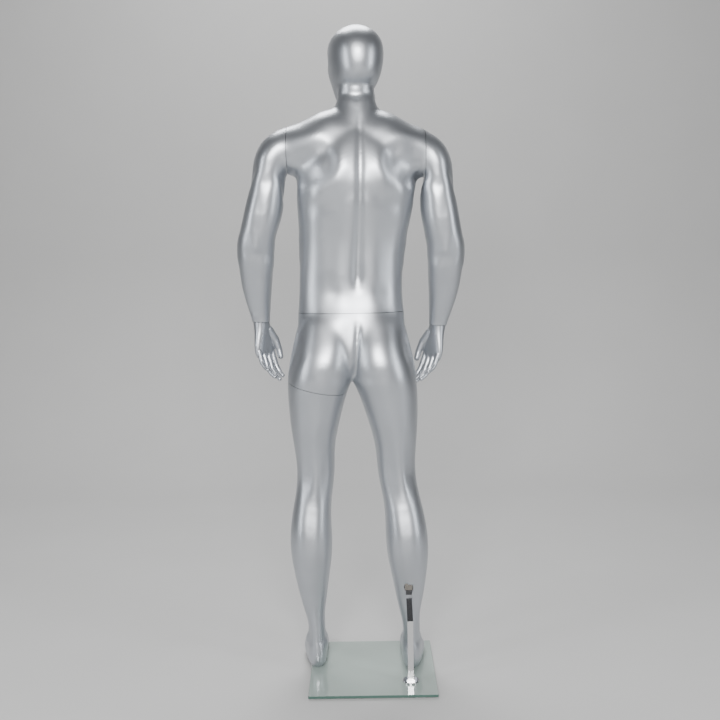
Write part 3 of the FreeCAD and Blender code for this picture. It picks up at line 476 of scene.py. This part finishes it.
def shape_front(clay):
    clay.stroke([front(0, z) for z in (1470, 1400, 1335)], 9, (-2, -5, -6), AHEAD)
    clay.stroke([front(0, z) for z in (1320, 1240, 1160, 1085)], 8, (-4, -4.5, -3.5, -1.5), AHEAD)
    clay.stroke([front(0, 1126)], 6, -7, AHEAD)
    clay.stroke([front(0, 1514)], 17, -3, AHEAD)
    clay.stroke([front(0, 905), front(0, 880)], 26, (5, 9), AHEAD)
    for side in SIDES:
        pair = clay.brush(lambda u, z: front(side * u, z), AHEAD)
        pair([(48, 1385), (84, 1392), (120, 1412)], 38, (7, 8, 6))
        pair([(12, 1340), (58, 1326), (104, 1338), (140, 1372)], 11, (-6, -8, -8, -4))
        pair([(16, 1518), (60, 1524), (110, 1534), (156, 1530)], 10, (2.5, 3.5, 3.5, 2))
        pair([(60, 1500), (120, 1506)], 14, (-3.5, -4))
        pair([(32, 1290)], 18, 3.5)
        pair([(32, 1244)], 17, 3.5)
        pair([(31, 1198)], 17, 3.5)
        pair([(28, 1140), (22, 1100)], 20, 2.5)
        for z in (1312, 1267, 1221, 1174):
            pair([(8, z), (30, z + 1), (54, z + 6)], 6, (-2.5, -3.5, -2.5))
        pair([(64, 1318), (64, 1220), (56, 1120), (40, 1060)], 10, (-5, -4.5, -4, -2))
        pair([(104, 1180), (112, 1120)], 26, 3)
        for k in range(4):
            z = 1325 - 26 * k
            pair([(124 - 3 * k, z), (100 - 3 * k, z - 20)], 6, (-3.5, -2))
        pair([(128, 1068), (96, 1012), (60, 950), (30, 902)], 10, (-3, -6, -6, -5))
        pair([(112, 1086)], 20, 3)
    clay.refresh()


def shape_legs(clay):
    for side in SIDES:
        rear = clay.brush(lambda u, z: leg(side, u, z), BACK)
        ahead = clay.brush(lambda u, z: leg(side, u, z), AHEAD)
        shift = -6 if side > 0 else 8
        rear([(shift, z) for z in (760, 690, 620, 560, 490)], 17, (0.2, 1, 3, 4.5, 0.8))
        rear([(shift - 26, z) for z in (740, 660, 590, 500)], 14, (-0.3, -2, -4, -0.5))
        rear([(shift + 27, z) for z in (720, 650, 580, 510)], 14, (-0.3, -2, -3.5, -0.5))
        rear([(-20, 560), (-22, 480), (-20, 400), (-16, 330)], 28, (0.3, 3, 3, 0.3))
        rear([(18, 560), (20, 490), (20, 410), (14, 340)], 26, (0.3, 2.5, 2.5, 0.3))
        rear([(0, 500), (0, 430), (0, 340)], 12, (-0.3, -1.5, -0.3))
        rear([(0, 220), (0, 150), (0, 80)], 12, (0.5, 2.5, 1))
        for aside in (-1, 1):
            rear([(aside * 19, 190), (aside * 20, 140), (aside * 20, 95)], 11, (-0.5, -2, -3))
        ahead([(2, 542)], 24, 7)
        ahead([(2, 496)], 13, 3)
        for aside in (-1, 1):
            ahead([(2 + aside * 30, 550), (2 + aside * 22, 512)], 12, -4)
        ahead([(2, 582)], 14, -3)
        ahead([(-26, 606)], 24, 7)
        ahead([(28, 650), (24, 615)], 24, (4, 3))
        ahead([(-10, 820), (-4, 700), (0, 640)], 26, (2, 4, 1))
        ahead([(-34, 780), (-22, 670)], 13, (-1, -3))
        ahead([(24, 780), (22, 670)], 13, (-1, -3))
        ahead([(-3, 470), (-7, 350), (-8, 220)], 11, (1, 3, 1))
        ahead([(16, 440), (12, 320)], 18, (3, 1))
        x, back = leg(side, 0, 90)[0], FOOT_BACK[side]
        clay.stroke([(x + side * 40, 6 + back, 84)], 11, 5, (side, 0, 0))
        clay.stroke([(x - side * 40, -2 + back, 97)], 12, 5, (-side, 0, 0))
    clay.refresh()


def foot(side, f, b, z):
    """Point on a foot, f ahead of the ankle and b outwards."""
    turn = TOE_OUT[side]
    x = side * 138 + 2.5 + side * math.sin(turn) * f + side * math.cos(turn) * b
    y = 7 + FOOT_BACK[side] - math.cos(turn) * f + math.sin(turn) * b
    return (x, y, z)


def shape_feet(clay):
    # toes, each as its middle outwards of the foot's line, half width, and where its tip is
    toes = ((-26, 13.5, 163), (-7, 8, 160), (7, 7.5, 152), (19.5, 7, 142), (30.5, 6.5, 129))
    for side in SIDES:
        for (b0, h0, tip0), (_, _, tip1) in zip(toes, toes[1:]):
            b, tip = b0 + h0 - 0.5, (tip0 + tip1) / 2
            path = [foot(side, tip - 30, b - 1, 20), foot(side, tip + 8, b, 20)]
            clay.stroke(path, 3.4, (-3, -8.5), UP)
            clay.stroke([foot(side, tip + 10, b, 4), foot(side, tip - 2, b, 30)], 3.6, -7, AHEAD)
        for b, half, tip in toes:
            clay.stroke([foot(side, tip - 7, b, 20)], half * 0.8, 2.6, UP)
            clay.stroke([foot(side, tip - 22, b, 20)], half * 0.9, -1.6, UP)
        clay.stroke([foot(side, 60, -8, 20), foot(side, 118, -16, 20)], 9, (2, 1.5), UP)
        clay.stroke([foot(side, 70, 14, 20), foot(side, 112, 10, 20)], 7, (1.5, 1), UP)
    clay.refresh()
    clay.co[:, 2] = np.maximum(clay.co[:, 2], SOLE_Z / MM)


def shape_arms(clay):
    for side in SIDES:
        rear = clay.brush(lambda x, z: arm(side, x, z), BACK)
        ahead = clay.brush(lambda x, z: arm(side, x, z), AHEAD)
        outer = clay.brush(lambda y, z: arm(side, 280, z, y), (side, 0, 0))
        rear([(216, 1500), (240, 1470)], 30, (3, 3))
        rear([(206, 1416), (236, 1396)], 18, (-2, -3))
        rear([(226, 1450), (232, 1380), (244, 1310), (250, 1270)], 27, (0.3, 1.8, 2.5, 0.5))
        rear([(262, 1450), (270, 1380), (280, 1310), (284, 1270)], 25, (0.3, 1.8, 2.5, 0.5))
        rear([(248, 1390), (254, 1320), (262, 1262)], 14, (-0.3, -2, -0.6))
        rear([(264, 1250), (264, 1222)], 16, (1, 3.5))
        rear([(243, 1245), (246, 1205)], 15, (-1.5, -2))
        rear([(286, 1245), (286, 1205)], 14, (-1.5, -1.5))
        rear([(292, 1180), (288, 1120)], 22, (3, 1))
        rear([(246, 1170), (246, 1110)], 20, (3, 1))
        rear([(268, 1180), (266, 1120), (266, 1060)], 11, (-0.5, -2, -0.5))
        rear([(274, 1022)], 9, 3)
        outer([(-8, 1500), (0, 1460)], 34, (3, 4))
        outer([(-36, 1430), (-12, 1372)], 10, (-3, -4))
        outer([(40, 1430), (6, 1372)], 10, (-3, -4))
        outer([(-4, 1240), (-12, 1190)], 18, (3, 3))
        ahead([(232, 1380), (240, 1330)], 24, (6, 6))
        ahead([(214, 1440), (236, 1424)], 11, (-4, -4))
        ahead([(252, 1268)], 13, -5)
        ahead([(290, 1220), (284, 1170)], 18, (4, 3))
        ahead([(236, 1200), (240, 1150)], 17, (4, 3))
        ahead([(262, 1220), (260, 1150), (258, 1060)], 8, (-3, -2.5, -1))
    clay.refresh()


# ---- head ---------------------------------------------------------------------------------------
def head(h, z, depth=0.0):
    """Point of the turned head, h to its left."""
    return (h * math.cos(HEAD_TURN) + depth * FACE_AHEAD[0],
            h * math.sin(HEAD_TURN) + depth * FACE_AHEAD[1], z)


def turned(x, y, z=0):
    return (x * math.cos(HEAD_TURN) - y * math.sin(HEAD_TURN),
            x * math.sin(HEAD_TURN) + y * math.cos(HEAD_TURN), z)


def shape_head(clay):
    face = clay.brush(head, FACE_AHEAD)
    for side in SIDES:
        face([(side * 10, 1746), (side * 44, 1746)], 10, (2, 3))
        face([(side * 26, 1726), (side * 36, 1724)], 14, -8)
        face([(side * 46, 1700), (side * 56, 1712)], 15, 3)
        face([(side * 40, 1668), (side * 44, 1650)], 15, -4)
        clay.stroke([head(side * 66, 1742, 40)], 20, -3, turned(side, -0.5))
    face([(0, 1744), (0, 1715), (0, 1690)], (9, 9.5, 11), (2, 6, 10))
    face([(0, 1652)], 22, 2.5)
    face([(0, 1627)], 14, 5)
    clay.refresh()
    for side in SIDES:
        face([(side * 26, 1722), (side * 36, 1721)], 9.5, 5.5)
        face([(side * 9.5, 1683)], 5, 4.5)
        face([(side * 16, 1680), (side * 27, 1660)], 5, (-2, -1.5))
    face([(0, 1687)], 9, 3.5)
    face([(0, 1669)], 4, -2)
    face([(-17, 1657), (-5, 1660), (0, 1658.5), (5, 1660), (17, 1657)], 3.6, (1, 3.4, 3, 3.4, 1))
    face([(-15, 1648), (0, 1646.5), (15, 1648)], 4.2, (1.2, 4.2, 1.2))
    face([(0, 1637)], 8, -3.5)
    clay.refresh()
    face([(-22, 1653), (-8, 1653.5), (0, 1652.6), (8, 1653.5), (22, 1653)], 2.0, (-2.4, -3, -3, -3, -2.4))
    for side in SIDES:
        face([(side * 19, 1720), (side * 30, 1716.5), (side * 42, 1720)], 1.9, -1.7)
        face([(side * 19, 1727), (side * 30, 1732), (side * 43, 1727)], 2.4, -1.5)
        face([(side * 6, 1675.5)], 2.6, -2.6)
    clay.refresh()
    clay.stroke([(-30, 60, 1642), (0, 62, 1636), (30, 66, 1642)], 14, (-4, -5, -4), BACK)
    for side in SIDES:
        clay.stroke([(side * 18, -50, 1536), (side * 40, -30, 1590), (side * 48, 0, 1640)], 8,
                    (3, 3, 2), (side * 0.6, -1, 0))
    clay.refresh()


# ---- cutting at the seams -----------------------------------------------------------------------
def lathe(profile, centre, segments=96):
    """Closed solid from a profile of (radius, outwards) points turned about an X axis."""
    bm = bmesh.new()
    rings = []
    for radius, x in profile:
        if radius == 0:
            rings.append([bm.verts.new((x, 0, 0))])
        else:
            rings.append([bm.verts.new((x, radius * math.cos(t), radius * math.sin(t)))
                          for t in (2 * math.pi * k / segments for k in range(segments))])
    for low, high in zip(rings, rings[1:] + rings[:1]):
        if len(low) == 1 and len(high) == 1:
            continue
        for k in range(segments):
            a, b = low[k % len(low)], low[(k + 1) % len(low)]
            c, d = high[(k + 1) % len(high)], high[k % len(high)]
            corners = [v for i, v in enumerate((a, b, c, d)) if v not in (a, b, c, d)[:i]]
            bm.faces.new(corners)
    bmesh.ops.translate(bm, verts=bm.verts, vec=centre)
    bmesh.ops.recalc_face_normals(bm, faces=bm.faces)
    mesh = bpy.data.meshes.new("lathe")
    bm.to_mesh(mesh)
    bm.free()
    return mesh


def block(size, matrix):
    """Closed box about the origin of a matrix."""
    bm = bmesh.new()
    bmesh.ops.create_cube(bm, size=1.0, matrix=matrix @ Matrix.Diagonal((*size, 1)))
    mesh = bpy.data.meshes.new("block")
    bm.to_mesh(mesh)
    bm.free()
    return mesh


def rod(radius, start, way, length, segments=64):
    """Closed cylinder from a point along a direction."""
    bm = bmesh.new()
    turn = Vector(way).to_track_quat("Z", "Y").to_matrix().to_4x4()
    middle = Matrix.Translation(Vector(start) + Vector(way) * (length / 2))
    bmesh.ops.create_cone(bm, cap_ends=True, segments=segments, radius1=radius, radius2=radius,
                          depth=length, matrix=middle @ turn)
    mesh = bpy.data.meshes.new("rod")
    bm.to_mesh(mesh)
    bm.free()
    return mesh


def cut_away(mesh, tools):
    """The mesh less all the tools."""
    piece = object_of("being_cut", mesh)
    for tool_mesh in tools:
        tool = object_of("tool", tool_mesh)
        modifier = piece.modifiers.new("cut", "BOOLEAN")
        modifier.operation, modifier.solver, modifier.object = "DIFFERENCE", "MANIFOLD", tool
    result = applied(piece)
    for modifier in list(piece.modifiers):
        discard(modifier.object)
    discard(piece)
    return result


def seam_tools():
    waist_middle = Vector((FIGURE.x + 20 * MM, FIGURE.y, WAIST_Z))
    tools = [block((0.37, 0.5, SEAM), Matrix.Translation(waist_middle))]
    top = points_of(NODES["left_leg"].data) @ np.array(THIGH_UP)
    across = Vector((0, 1, 0)).cross(THIGH_UP).normalized()
    turn = Matrix((across, THIGH_UP.cross(across), THIGH_UP)).transposed().to_4x4()
    centre = FIGURE + Vector((132 * MM, 0, 0))
    centre.z = (top.max() + 0.2 * MM - centre.dot(THIGH_UP)) / THIGH_UP.z
    tools.append(block((0.215, 0.4, SEAM), Matrix.Translation(centre) @ turn))
    for side in SIDES:
        flat, flare, deep, far = 78 * MM, 104 * MM, -14 * MM, 150 * MM
        half = SEAM / 2
        profile = [(0, side * half), (flat, side * half), (flare, side * (deep + half)),
                   (far, side * (deep + half)), (far, side * (deep - half)),
                   (flare, side * (deep - half)), (flat, -side * half), (0, -side * half)]
        tools.append(lathe(profile, SHOULDER[side]))
        face = WRIST[side] - ARM_DOWN[side] * (SEAM / 2)
        way = ARM_DOWN[side].to_track_quat("Z", "Y").to_matrix().to_4x4()
        tools.append(block((0.1, 0.1, 0.04),
                           Matrix.Translation(face + ARM_DOWN[side] * 0.02) @ way))
    return tools


def split(mesh):
    """The large connected parts of a mesh, each as a mesh of its own, without the crumbs."""
    crumb = 3000
    label = islands(len(mesh.vertices), edges_of(mesh))
    parts = []
    for k, size in zip(*np.unique(label, return_counts=True)):
        if size > crumb:
            part = mesh.copy()
            keep_vertices(part, label == k)
            parts.append(part)
    return parts


def finish_piece(name, mesh, material, body, node):
    """Make a shaped mesh a visible piece that stands for its CAD node."""
    crease = math.radians(50)
    for polygon in mesh.polygons:
        polygon.use_smooth = True
    mesh.set_sharp_from_angle(angle=crease)
    mesh.materials.clear()
    mesh.materials.append(material)
    piece = object_of(name, mesh)
    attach(piece, body)
    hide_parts(node)


# ---- materials ----------------------------------------------------------------------------------
def node_material(name, metallic, roughness):
    material = bpy.data.materials.new(name)
    material.use_nodes = True
    tree = material.node_tree
    shader = tree.nodes["Principled BSDF"]
    shader.inputs["Metallic"].default_value = metallic
    shader.inputs["Roughness"].default_value = roughness
    return material, tree, shader


def noise(tree, scale, detail, stretch=(1, 1, 1)):
    coordinates = tree.nodes.new("ShaderNodeTexCoord")
    mapping = tree.nodes.new("ShaderNodeMapping")
    mapping.inputs["Scale"].default_value = stretch
    texture = tree.nodes.new("ShaderNodeTexNoise")
    texture.inputs["Scale"].default_value = scale
    texture.inputs["Detail"].default_value = detail
    tree.links.new(coordinates.outputs["Object"], mapping.inputs["Vector"])
    tree.links.new(mapping.outputs["Vector"], texture.inputs["Vector"])
    return texture.outputs["Fac"]


def to_range(tree, value, low, high, from_low=0.3, from_high=0.7):
    node = tree.nodes.new("ShaderNodeMapRange")
    node.inputs["From Min"].default_value = from_low
    node.inputs["From Max"].default_value = from_high
    node.inputs["To Min"].default_value = low
    node.inputs["To Max"].default_value = high
    tree.links.new(value, node.inputs["Value"])
    return node.outputs["Result"]


def blend_colour(tree, factor, first, second, socket):
    mix = tree.nodes.new("ShaderNodeMix")
    mix.data_type = "RGBA"
    mix.inputs["A"].default_value = (*first, 1)
    mix.inputs["B"].default_value = (*second, 1)
    tree.links.new(factor, mix.inputs["Factor"])
    tree.links.new(mix.outputs["Result"], socket)


def bump(tree, shader, height, distance, strength):
    node = tree.nodes.new("ShaderNodeBump")
    node.inputs["Distance"].default_value = distance
    node.inputs["Strength"].default_value = strength
    tree.links.new(height, node.inputs["Height"])
    tree.links.new(node.outputs["Normal"], shader.inputs["Normal"])


def silver_lacquer():
    """Satin silver lacquer: fine metal flake, a little unevenness in the spray."""
    material, tree, shader = node_material("silver_lacquer", 0.9, 0.42)
    shader.inputs["Coat Weight"].default_value = 0.12
    shader.inputs["Coat Roughness"].default_value = 0.25
    cloud = noise(tree, 9, 3)
    blend_colour(tree, to_range(tree, cloud, 0, 1), (0.465, 0.488, 0.522), (0.50, 0.523, 0.557),
                 shader.inputs["Base Color"])
    tree.links.new(to_range(tree, cloud, 0.35, 0.40), shader.inputs["Roughness"])
    bump(tree, shader, noise(tree, 2200, 2), 0.05 * MM, 0.25)
    return material


def chrome():
    material, tree, shader = node_material("chrome", 1.0, 0.06)
    blend_colour(tree, noise(tree, 60, 2), (0.78, 0.78, 0.79), (0.84, 0.84, 0.85),
                 shader.inputs["Base Color"])
    scratches = noise(tree, 900, 4, (1, 1, 0.05))
    tree.links.new(to_range(tree, scratches, 0.03, 0.10), shader.inputs["Roughness"])
    bump(tree, shader, scratches, 0.01 * MM, 0.3)
    return material


def frosted_glass():
    """Toughened glass painted pale grey green underneath, with darker green polished edges."""
    material, tree, shader = node_material("frosted_glass", 0.0, 0.08)
    shader.inputs["IOR"].default_value = 1.52
    shader.inputs["Coat Weight"].default_value = 0.5
    shader.inputs["Coat Roughness"].default_value = 0.03
    geometry = tree.nodes.new("ShaderNodeNewGeometry")
    parts = tree.nodes.new("ShaderNodeSeparateXYZ")
    level = tree.nodes.new("ShaderNodeMath")
    level.operation = "ABSOLUTE"
    tree.links.new(geometry.outputs["True Normal"], parts.inputs["Vector"])
    tree.links.new(parts.outputs["Z"], level.inputs[0])
    blend_colour(tree, to_range(tree, level.outputs["Value"], 0, 1, 0.5, 0.95), (0.05, 0.11, 0.09),
                 (0.36, 0.43, 0.40), shader.inputs["Base Color"])
    tree.links.new(to_range(tree, noise(tree, 40, 3), 0.06, 0.13), shader.inputs["Roughness"])
    return material


def steel(name, low, high, grain):
    material, tree, shader = node_material(name, 1.0, 0.35)
    brushed = noise(tree, grain, 3, (1, 1, 0.1))
    blend_colour(tree, brushed, low, high, shader.inputs["Base Color"])
    tree.links.new(to_range(tree, brushed, 0.25, 0.45), shader.inputs["Roughness"])
    bump(tree, shader, brushed, 0.03 * MM, 0.3)
    return material


def clear_rubber():
    material, tree, shader = node_material("clear_rubber", 0.0, 0.35)
    shader.inputs["Transmission Weight"].default_value = 0.5
    shader.inputs["IOR"].default_value = 1.49
    blend_colour(tree, noise(tree, 200, 2), (0.70, 0.72, 0.71), (0.78, 0.79, 0.79),
                 shader.inputs["Base Color"])
    tree.links.new(to_range(tree, noise(tree, 400, 2), 0.3, 0.45), shader.inputs["Roughness"])
    return material


SILVER = silver_lacquer()
CHROME, GLASS, RUBBER = chrome(), frosted_glass(), clear_rubber()
FITTING = steel("fitting_steel", (0.50, 0.51, 0.52), (0.66, 0.67, 0.68), 300)
SCREW = steel("screw_steel", (0.38, 0.39, 0.40), (0.52, 0.53, 0.54), 500)
# Near-black steel for the calf socket is painted shade: its dark colour stands in for the shade inside the slot
# where the bar enters the calf.
SOCKET_STEEL_PAINTED_SHADE = steel("socket_steel_painted_shade", (0.035, 0.033, 0.03), (0.07, 0.066, 0.06), 300)


def dress_frame():
    """Give every CAD node that shows its material."""
    chromed = {"support_bar", "support_flange", "support_collar", "base_washer", "base_bolt",
               "flange_screws"}
    for name, node in NODES.items():
        if name == "base_plate":
            material = GLASS
        elif name in ("base_pads", "flange_gasket"):
            material = RUBBER
        elif name in chromed:
            material = CHROME
        # Painted shade: the calf socket is made near-black to stand in for the shade inside the bar's slot.
        elif name == "calf_socket":
            material = SOCKET_STEEL_PAINTED_SHADE
        elif name.endswith("screws"):
            material = SCREW
        else:
            material = FITTING
        node.data.materials.clear()
        node.data.materials.append(material)


def shape_figure():
    mesh = weld_figure()
    face_middle = FIGURE + Vector(head(0, 1690, 80)) * MM
    refine(mesh, face_middle, (0.14, 0.12, 0.19))
    for side in SIDES:
        toes_middle = FIGURE + Vector(foot(side, 140, 0, 30)) * MM
        refine(mesh, toes_middle, (0.12, 0.11, 0.08))
    clay = Clay(mesh, FIGURE)
    clay.polish(3)
    soften_joins(clay)
    clay.refresh()
    for shape in (shape_back, shape_hips, shape_front, shape_legs, shape_arms):
        shape(clay)
    clay.soften(5)
    clay.refresh()
    shape_feet(clay)
    shape_head(clay)
    clay.soften(2)
    clay.co[:, 2] = np.maximum(clay.co[:, 2], SOLE_Z / MM)
    clay.store()
    return mesh


def pockets(name):
    """What is hollowed out of a shell for its fittings."""
    if name == "torso_and_head":
        low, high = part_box("waist_socket")
        centre = Vector(((low.x + high.x) / 2, (low.y + high.y) / 2, WAIST_Z + 28 * MM))
        tools = [block((46.2 * MM, 46.2 * MM, 58 * MM), Matrix.Translation(centre))]
        for side in SIDES:
            inwards = Vector((-side, 0, 0))
            tools.append(rod(24.2 * MM, SHOULDER[side] - inwards * MM, inwards, 20 * MM))
        return tools
    if name in ("left_arm", "right_arm"):
        side = 1 if name == "left_arm" else -1
        return [rod(11.1 * MM, WRIST[side] + ARM_DOWN[side] * MM, -ARM_DOWN[side], 31.5 * MM)]
    if name == "pelvis_and_right_leg":
        turn = Matrix.Rotation(BAR_LEAN, 4, "X")
        middle = Vector((BAR_X, (SOCKET_LOW.y + SOCKET_HIGH.y) / 2, (SOCKET_LOW.z + SOCKET_HIGH.z) / 2))
        wide, long = 2 * BAR_HALF + 2.6 * MM, 140 * MM
        return [block((wide, wide, long), Matrix.Translation(middle - BAR_WAY * 45 * MM) @ turn)]
    return []


def place_pieces(mesh):
    """Cut the figure at its seams and hand each part to its body."""
    parts = split(cut_away(mesh, seam_tools()))
    bodies = frame["record"]["behaviour"]["bodies"]
    body_of = {node: body for body, nodes in bodies.items() for node in nodes}
    for part in parts:
        co = points_of(part)
        middle, top = (co.min(0) + co.max(0)) / 2, co[:, 2].max()
        if top > SHOULDER[1].z + 200 * MM:
            node = "torso_and_head"
        elif top > WAIST_Z + 100 * MM:
            node = "left_arm" if middle[0] > FIGURE.x else "right_arm"
        elif top > WAIST_Z - 10 * MM:
            node = "pelvis_and_right_leg"
        else:
            node = "left_leg"
        tools = pockets(node)
        part = cut_away(part, tools) if tools else part
        finish_piece(node + "_shell", part, SILVER, body_of[node], node)


# ---- hands --------------------------------------------------------------------------------------
def shape_hand(side):
    name = NAME[side] + "_hand"
    skin = outer_skin(name)
    face = WRIST[side] + ARM_DOWN[side] * 0.2 * MM
    push_cap(skin, face, -ARM_DOWN[side], 4 * MM, 60 * MM)
    mesh = remeshed(name + "_form", [skin], HAND_GRAIN)
    clay = Clay(mesh, WRIST[side])
    clay.polish(3)
    clay.store()
    way = ARM_DOWN[side].to_track_quat("Z", "Y").to_matrix().to_4x4()
    end = WRIST[side] + ARM_DOWN[side] * (SEAM / 2)
    tools = [block((0.1, 0.1, 0.04), Matrix.Translation(end - ARM_DOWN[side] * 0.02) @ way),
             rod(17.2 * MM, WRIST[side] - ARM_DOWN[side] * MM, ARM_DOWN[side], 4.3 * MM),
             rod(5.2 * MM, WRIST[side], ARM_DOWN[side], 14.6 * MM)]
    mesh = cut_away(mesh, tools)
    finish_piece(name + "_shell", mesh, SILVER, name, name)


dress_frame()
place_pieces(shape_figure())
for hand_side in SIDES:
    shape_hand(hand_side)


# ---- stage --------------------------------------------------------------------------------------
def sweep():
    """Pale floor that curves up into a wall behind the figure."""
    bm = bmesh.new()
    radius, wall_y, floor_end, wide, high = 1.2, -3.2, 9.0, 14.0, 7.0
    section = [(floor_end, 0.0), (wall_y + radius, 0.0)]
    section += [(wall_y + radius - radius * math.sin(t), radius - radius * math.cos(t))
                for t in (math.pi / 2 * k / 24 for k in range(1, 25))]
    section.append((wall_y, high))
    rows = [[bm.verts.new((x, y, z)) for y, z in section] for x in (-wide / 2, wide / 2)]
    for k in range(len(section) - 1):
        bm.faces.new((rows[0][k], rows[1][k], rows[1][k + 1], rows[0][k + 1])).smooth = True
    mesh = bpy.data.meshes.new("studio_sweep")
    bm.to_mesh(mesh)
    bm.free()
    material, tree, shader = node_material("studio_paper", 0.0, 0.7)
    blend_colour(tree, noise(tree, 3, 2), (0.53, 0.53, 0.527), (0.56, 0.56, 0.557),
                 shader.inputs["Base Color"])
    mesh.materials.append(material)
    object_of("studio_sweep", mesh)


def lamp(name, place, target, size, power, tint=(1, 1, 1)):
    data = bpy.data.lights.new(name, "AREA")
    data.shape, data.size, data.size_y = "RECTANGLE", size[0], size[1]
    data.energy, data.color = power, tint
    light = bpy.data.objects.new(name, data)
    light.location = place
    light.rotation_euler = (Vector(target) - Vector(place)).to_track_quat("-Z", "Y").to_euler()
    bpy.context.scene.collection.objects.link(light)


def light_stage():
    lamp("key", (0.15, 4.2, 2.4), (0, 0, 1.15), (2.2, 0.75), 250, (1.0, 0.985, 0.97))
    lamp("left_strip", (2.9, 1.6, 1.5), (0, 0, 1.1), (0.6, 2.2), 36, (0.94, 0.97, 1.0))
    lamp("right_strip", (-2.9, 1.6, 1.5), (0, 0, 1.1), (0.6, 2.2), 36, (0.94, 0.97, 1.0))
    lamp("front_fill", (0.3, -2.0, 4.5), (0, 0, 1.2), (2.4, 2.0), 165)
    world = bpy.data.worlds.new("studio")
    world.use_nodes = True
    world.node_tree.nodes["Background"].inputs["Color"].default_value = (0.42, 0.43, 0.45, 1)
    world.node_tree.nodes["Background"].inputs["Strength"].default_value = 0.17
    bpy.context.scene.world = world


def place_camera():
    """Behind the figure at chest height, a little to its right, looking slightly down."""
    pitch, pan, roll = math.radians(6.7), math.radians(0.37), math.radians(1.0)
    look = Vector((math.sin(pan) * math.cos(pitch), -math.cos(pan) * math.cos(pitch), -math.sin(pitch)))
    right = look.cross(Vector((0, 0, 1))).normalized()
    up = right.cross(look)
    tilted_right = right * math.cos(roll) - up * math.sin(roll)
    tilted_up = right * math.sin(roll) + up * math.cos(roll)
    data = bpy.data.cameras.new("camera")
    data.lens, data.sensor_width = 46.5, 36
    camera = bpy.data.objects.new("camera", data)
    turn = Matrix((tilted_right, tilted_up, -look)).transposed().to_4x4()
    plate_low, plate_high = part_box("base_plate")
    aside, behind, above = 5 * MM, 2.408, 1.203       # of the plate's middle, edge and top
    place = Vector(((plate_low.x + plate_high.x) / 2 + aside, plate_high.y + behind,
                    plate_high.z + above))
    camera.matrix_world = Matrix.Translation(place) @ turn
    bpy.context.scene.collection.objects.link(camera)
    bpy.context.scene.camera = camera


sweep()
light_stage()
place_camera()
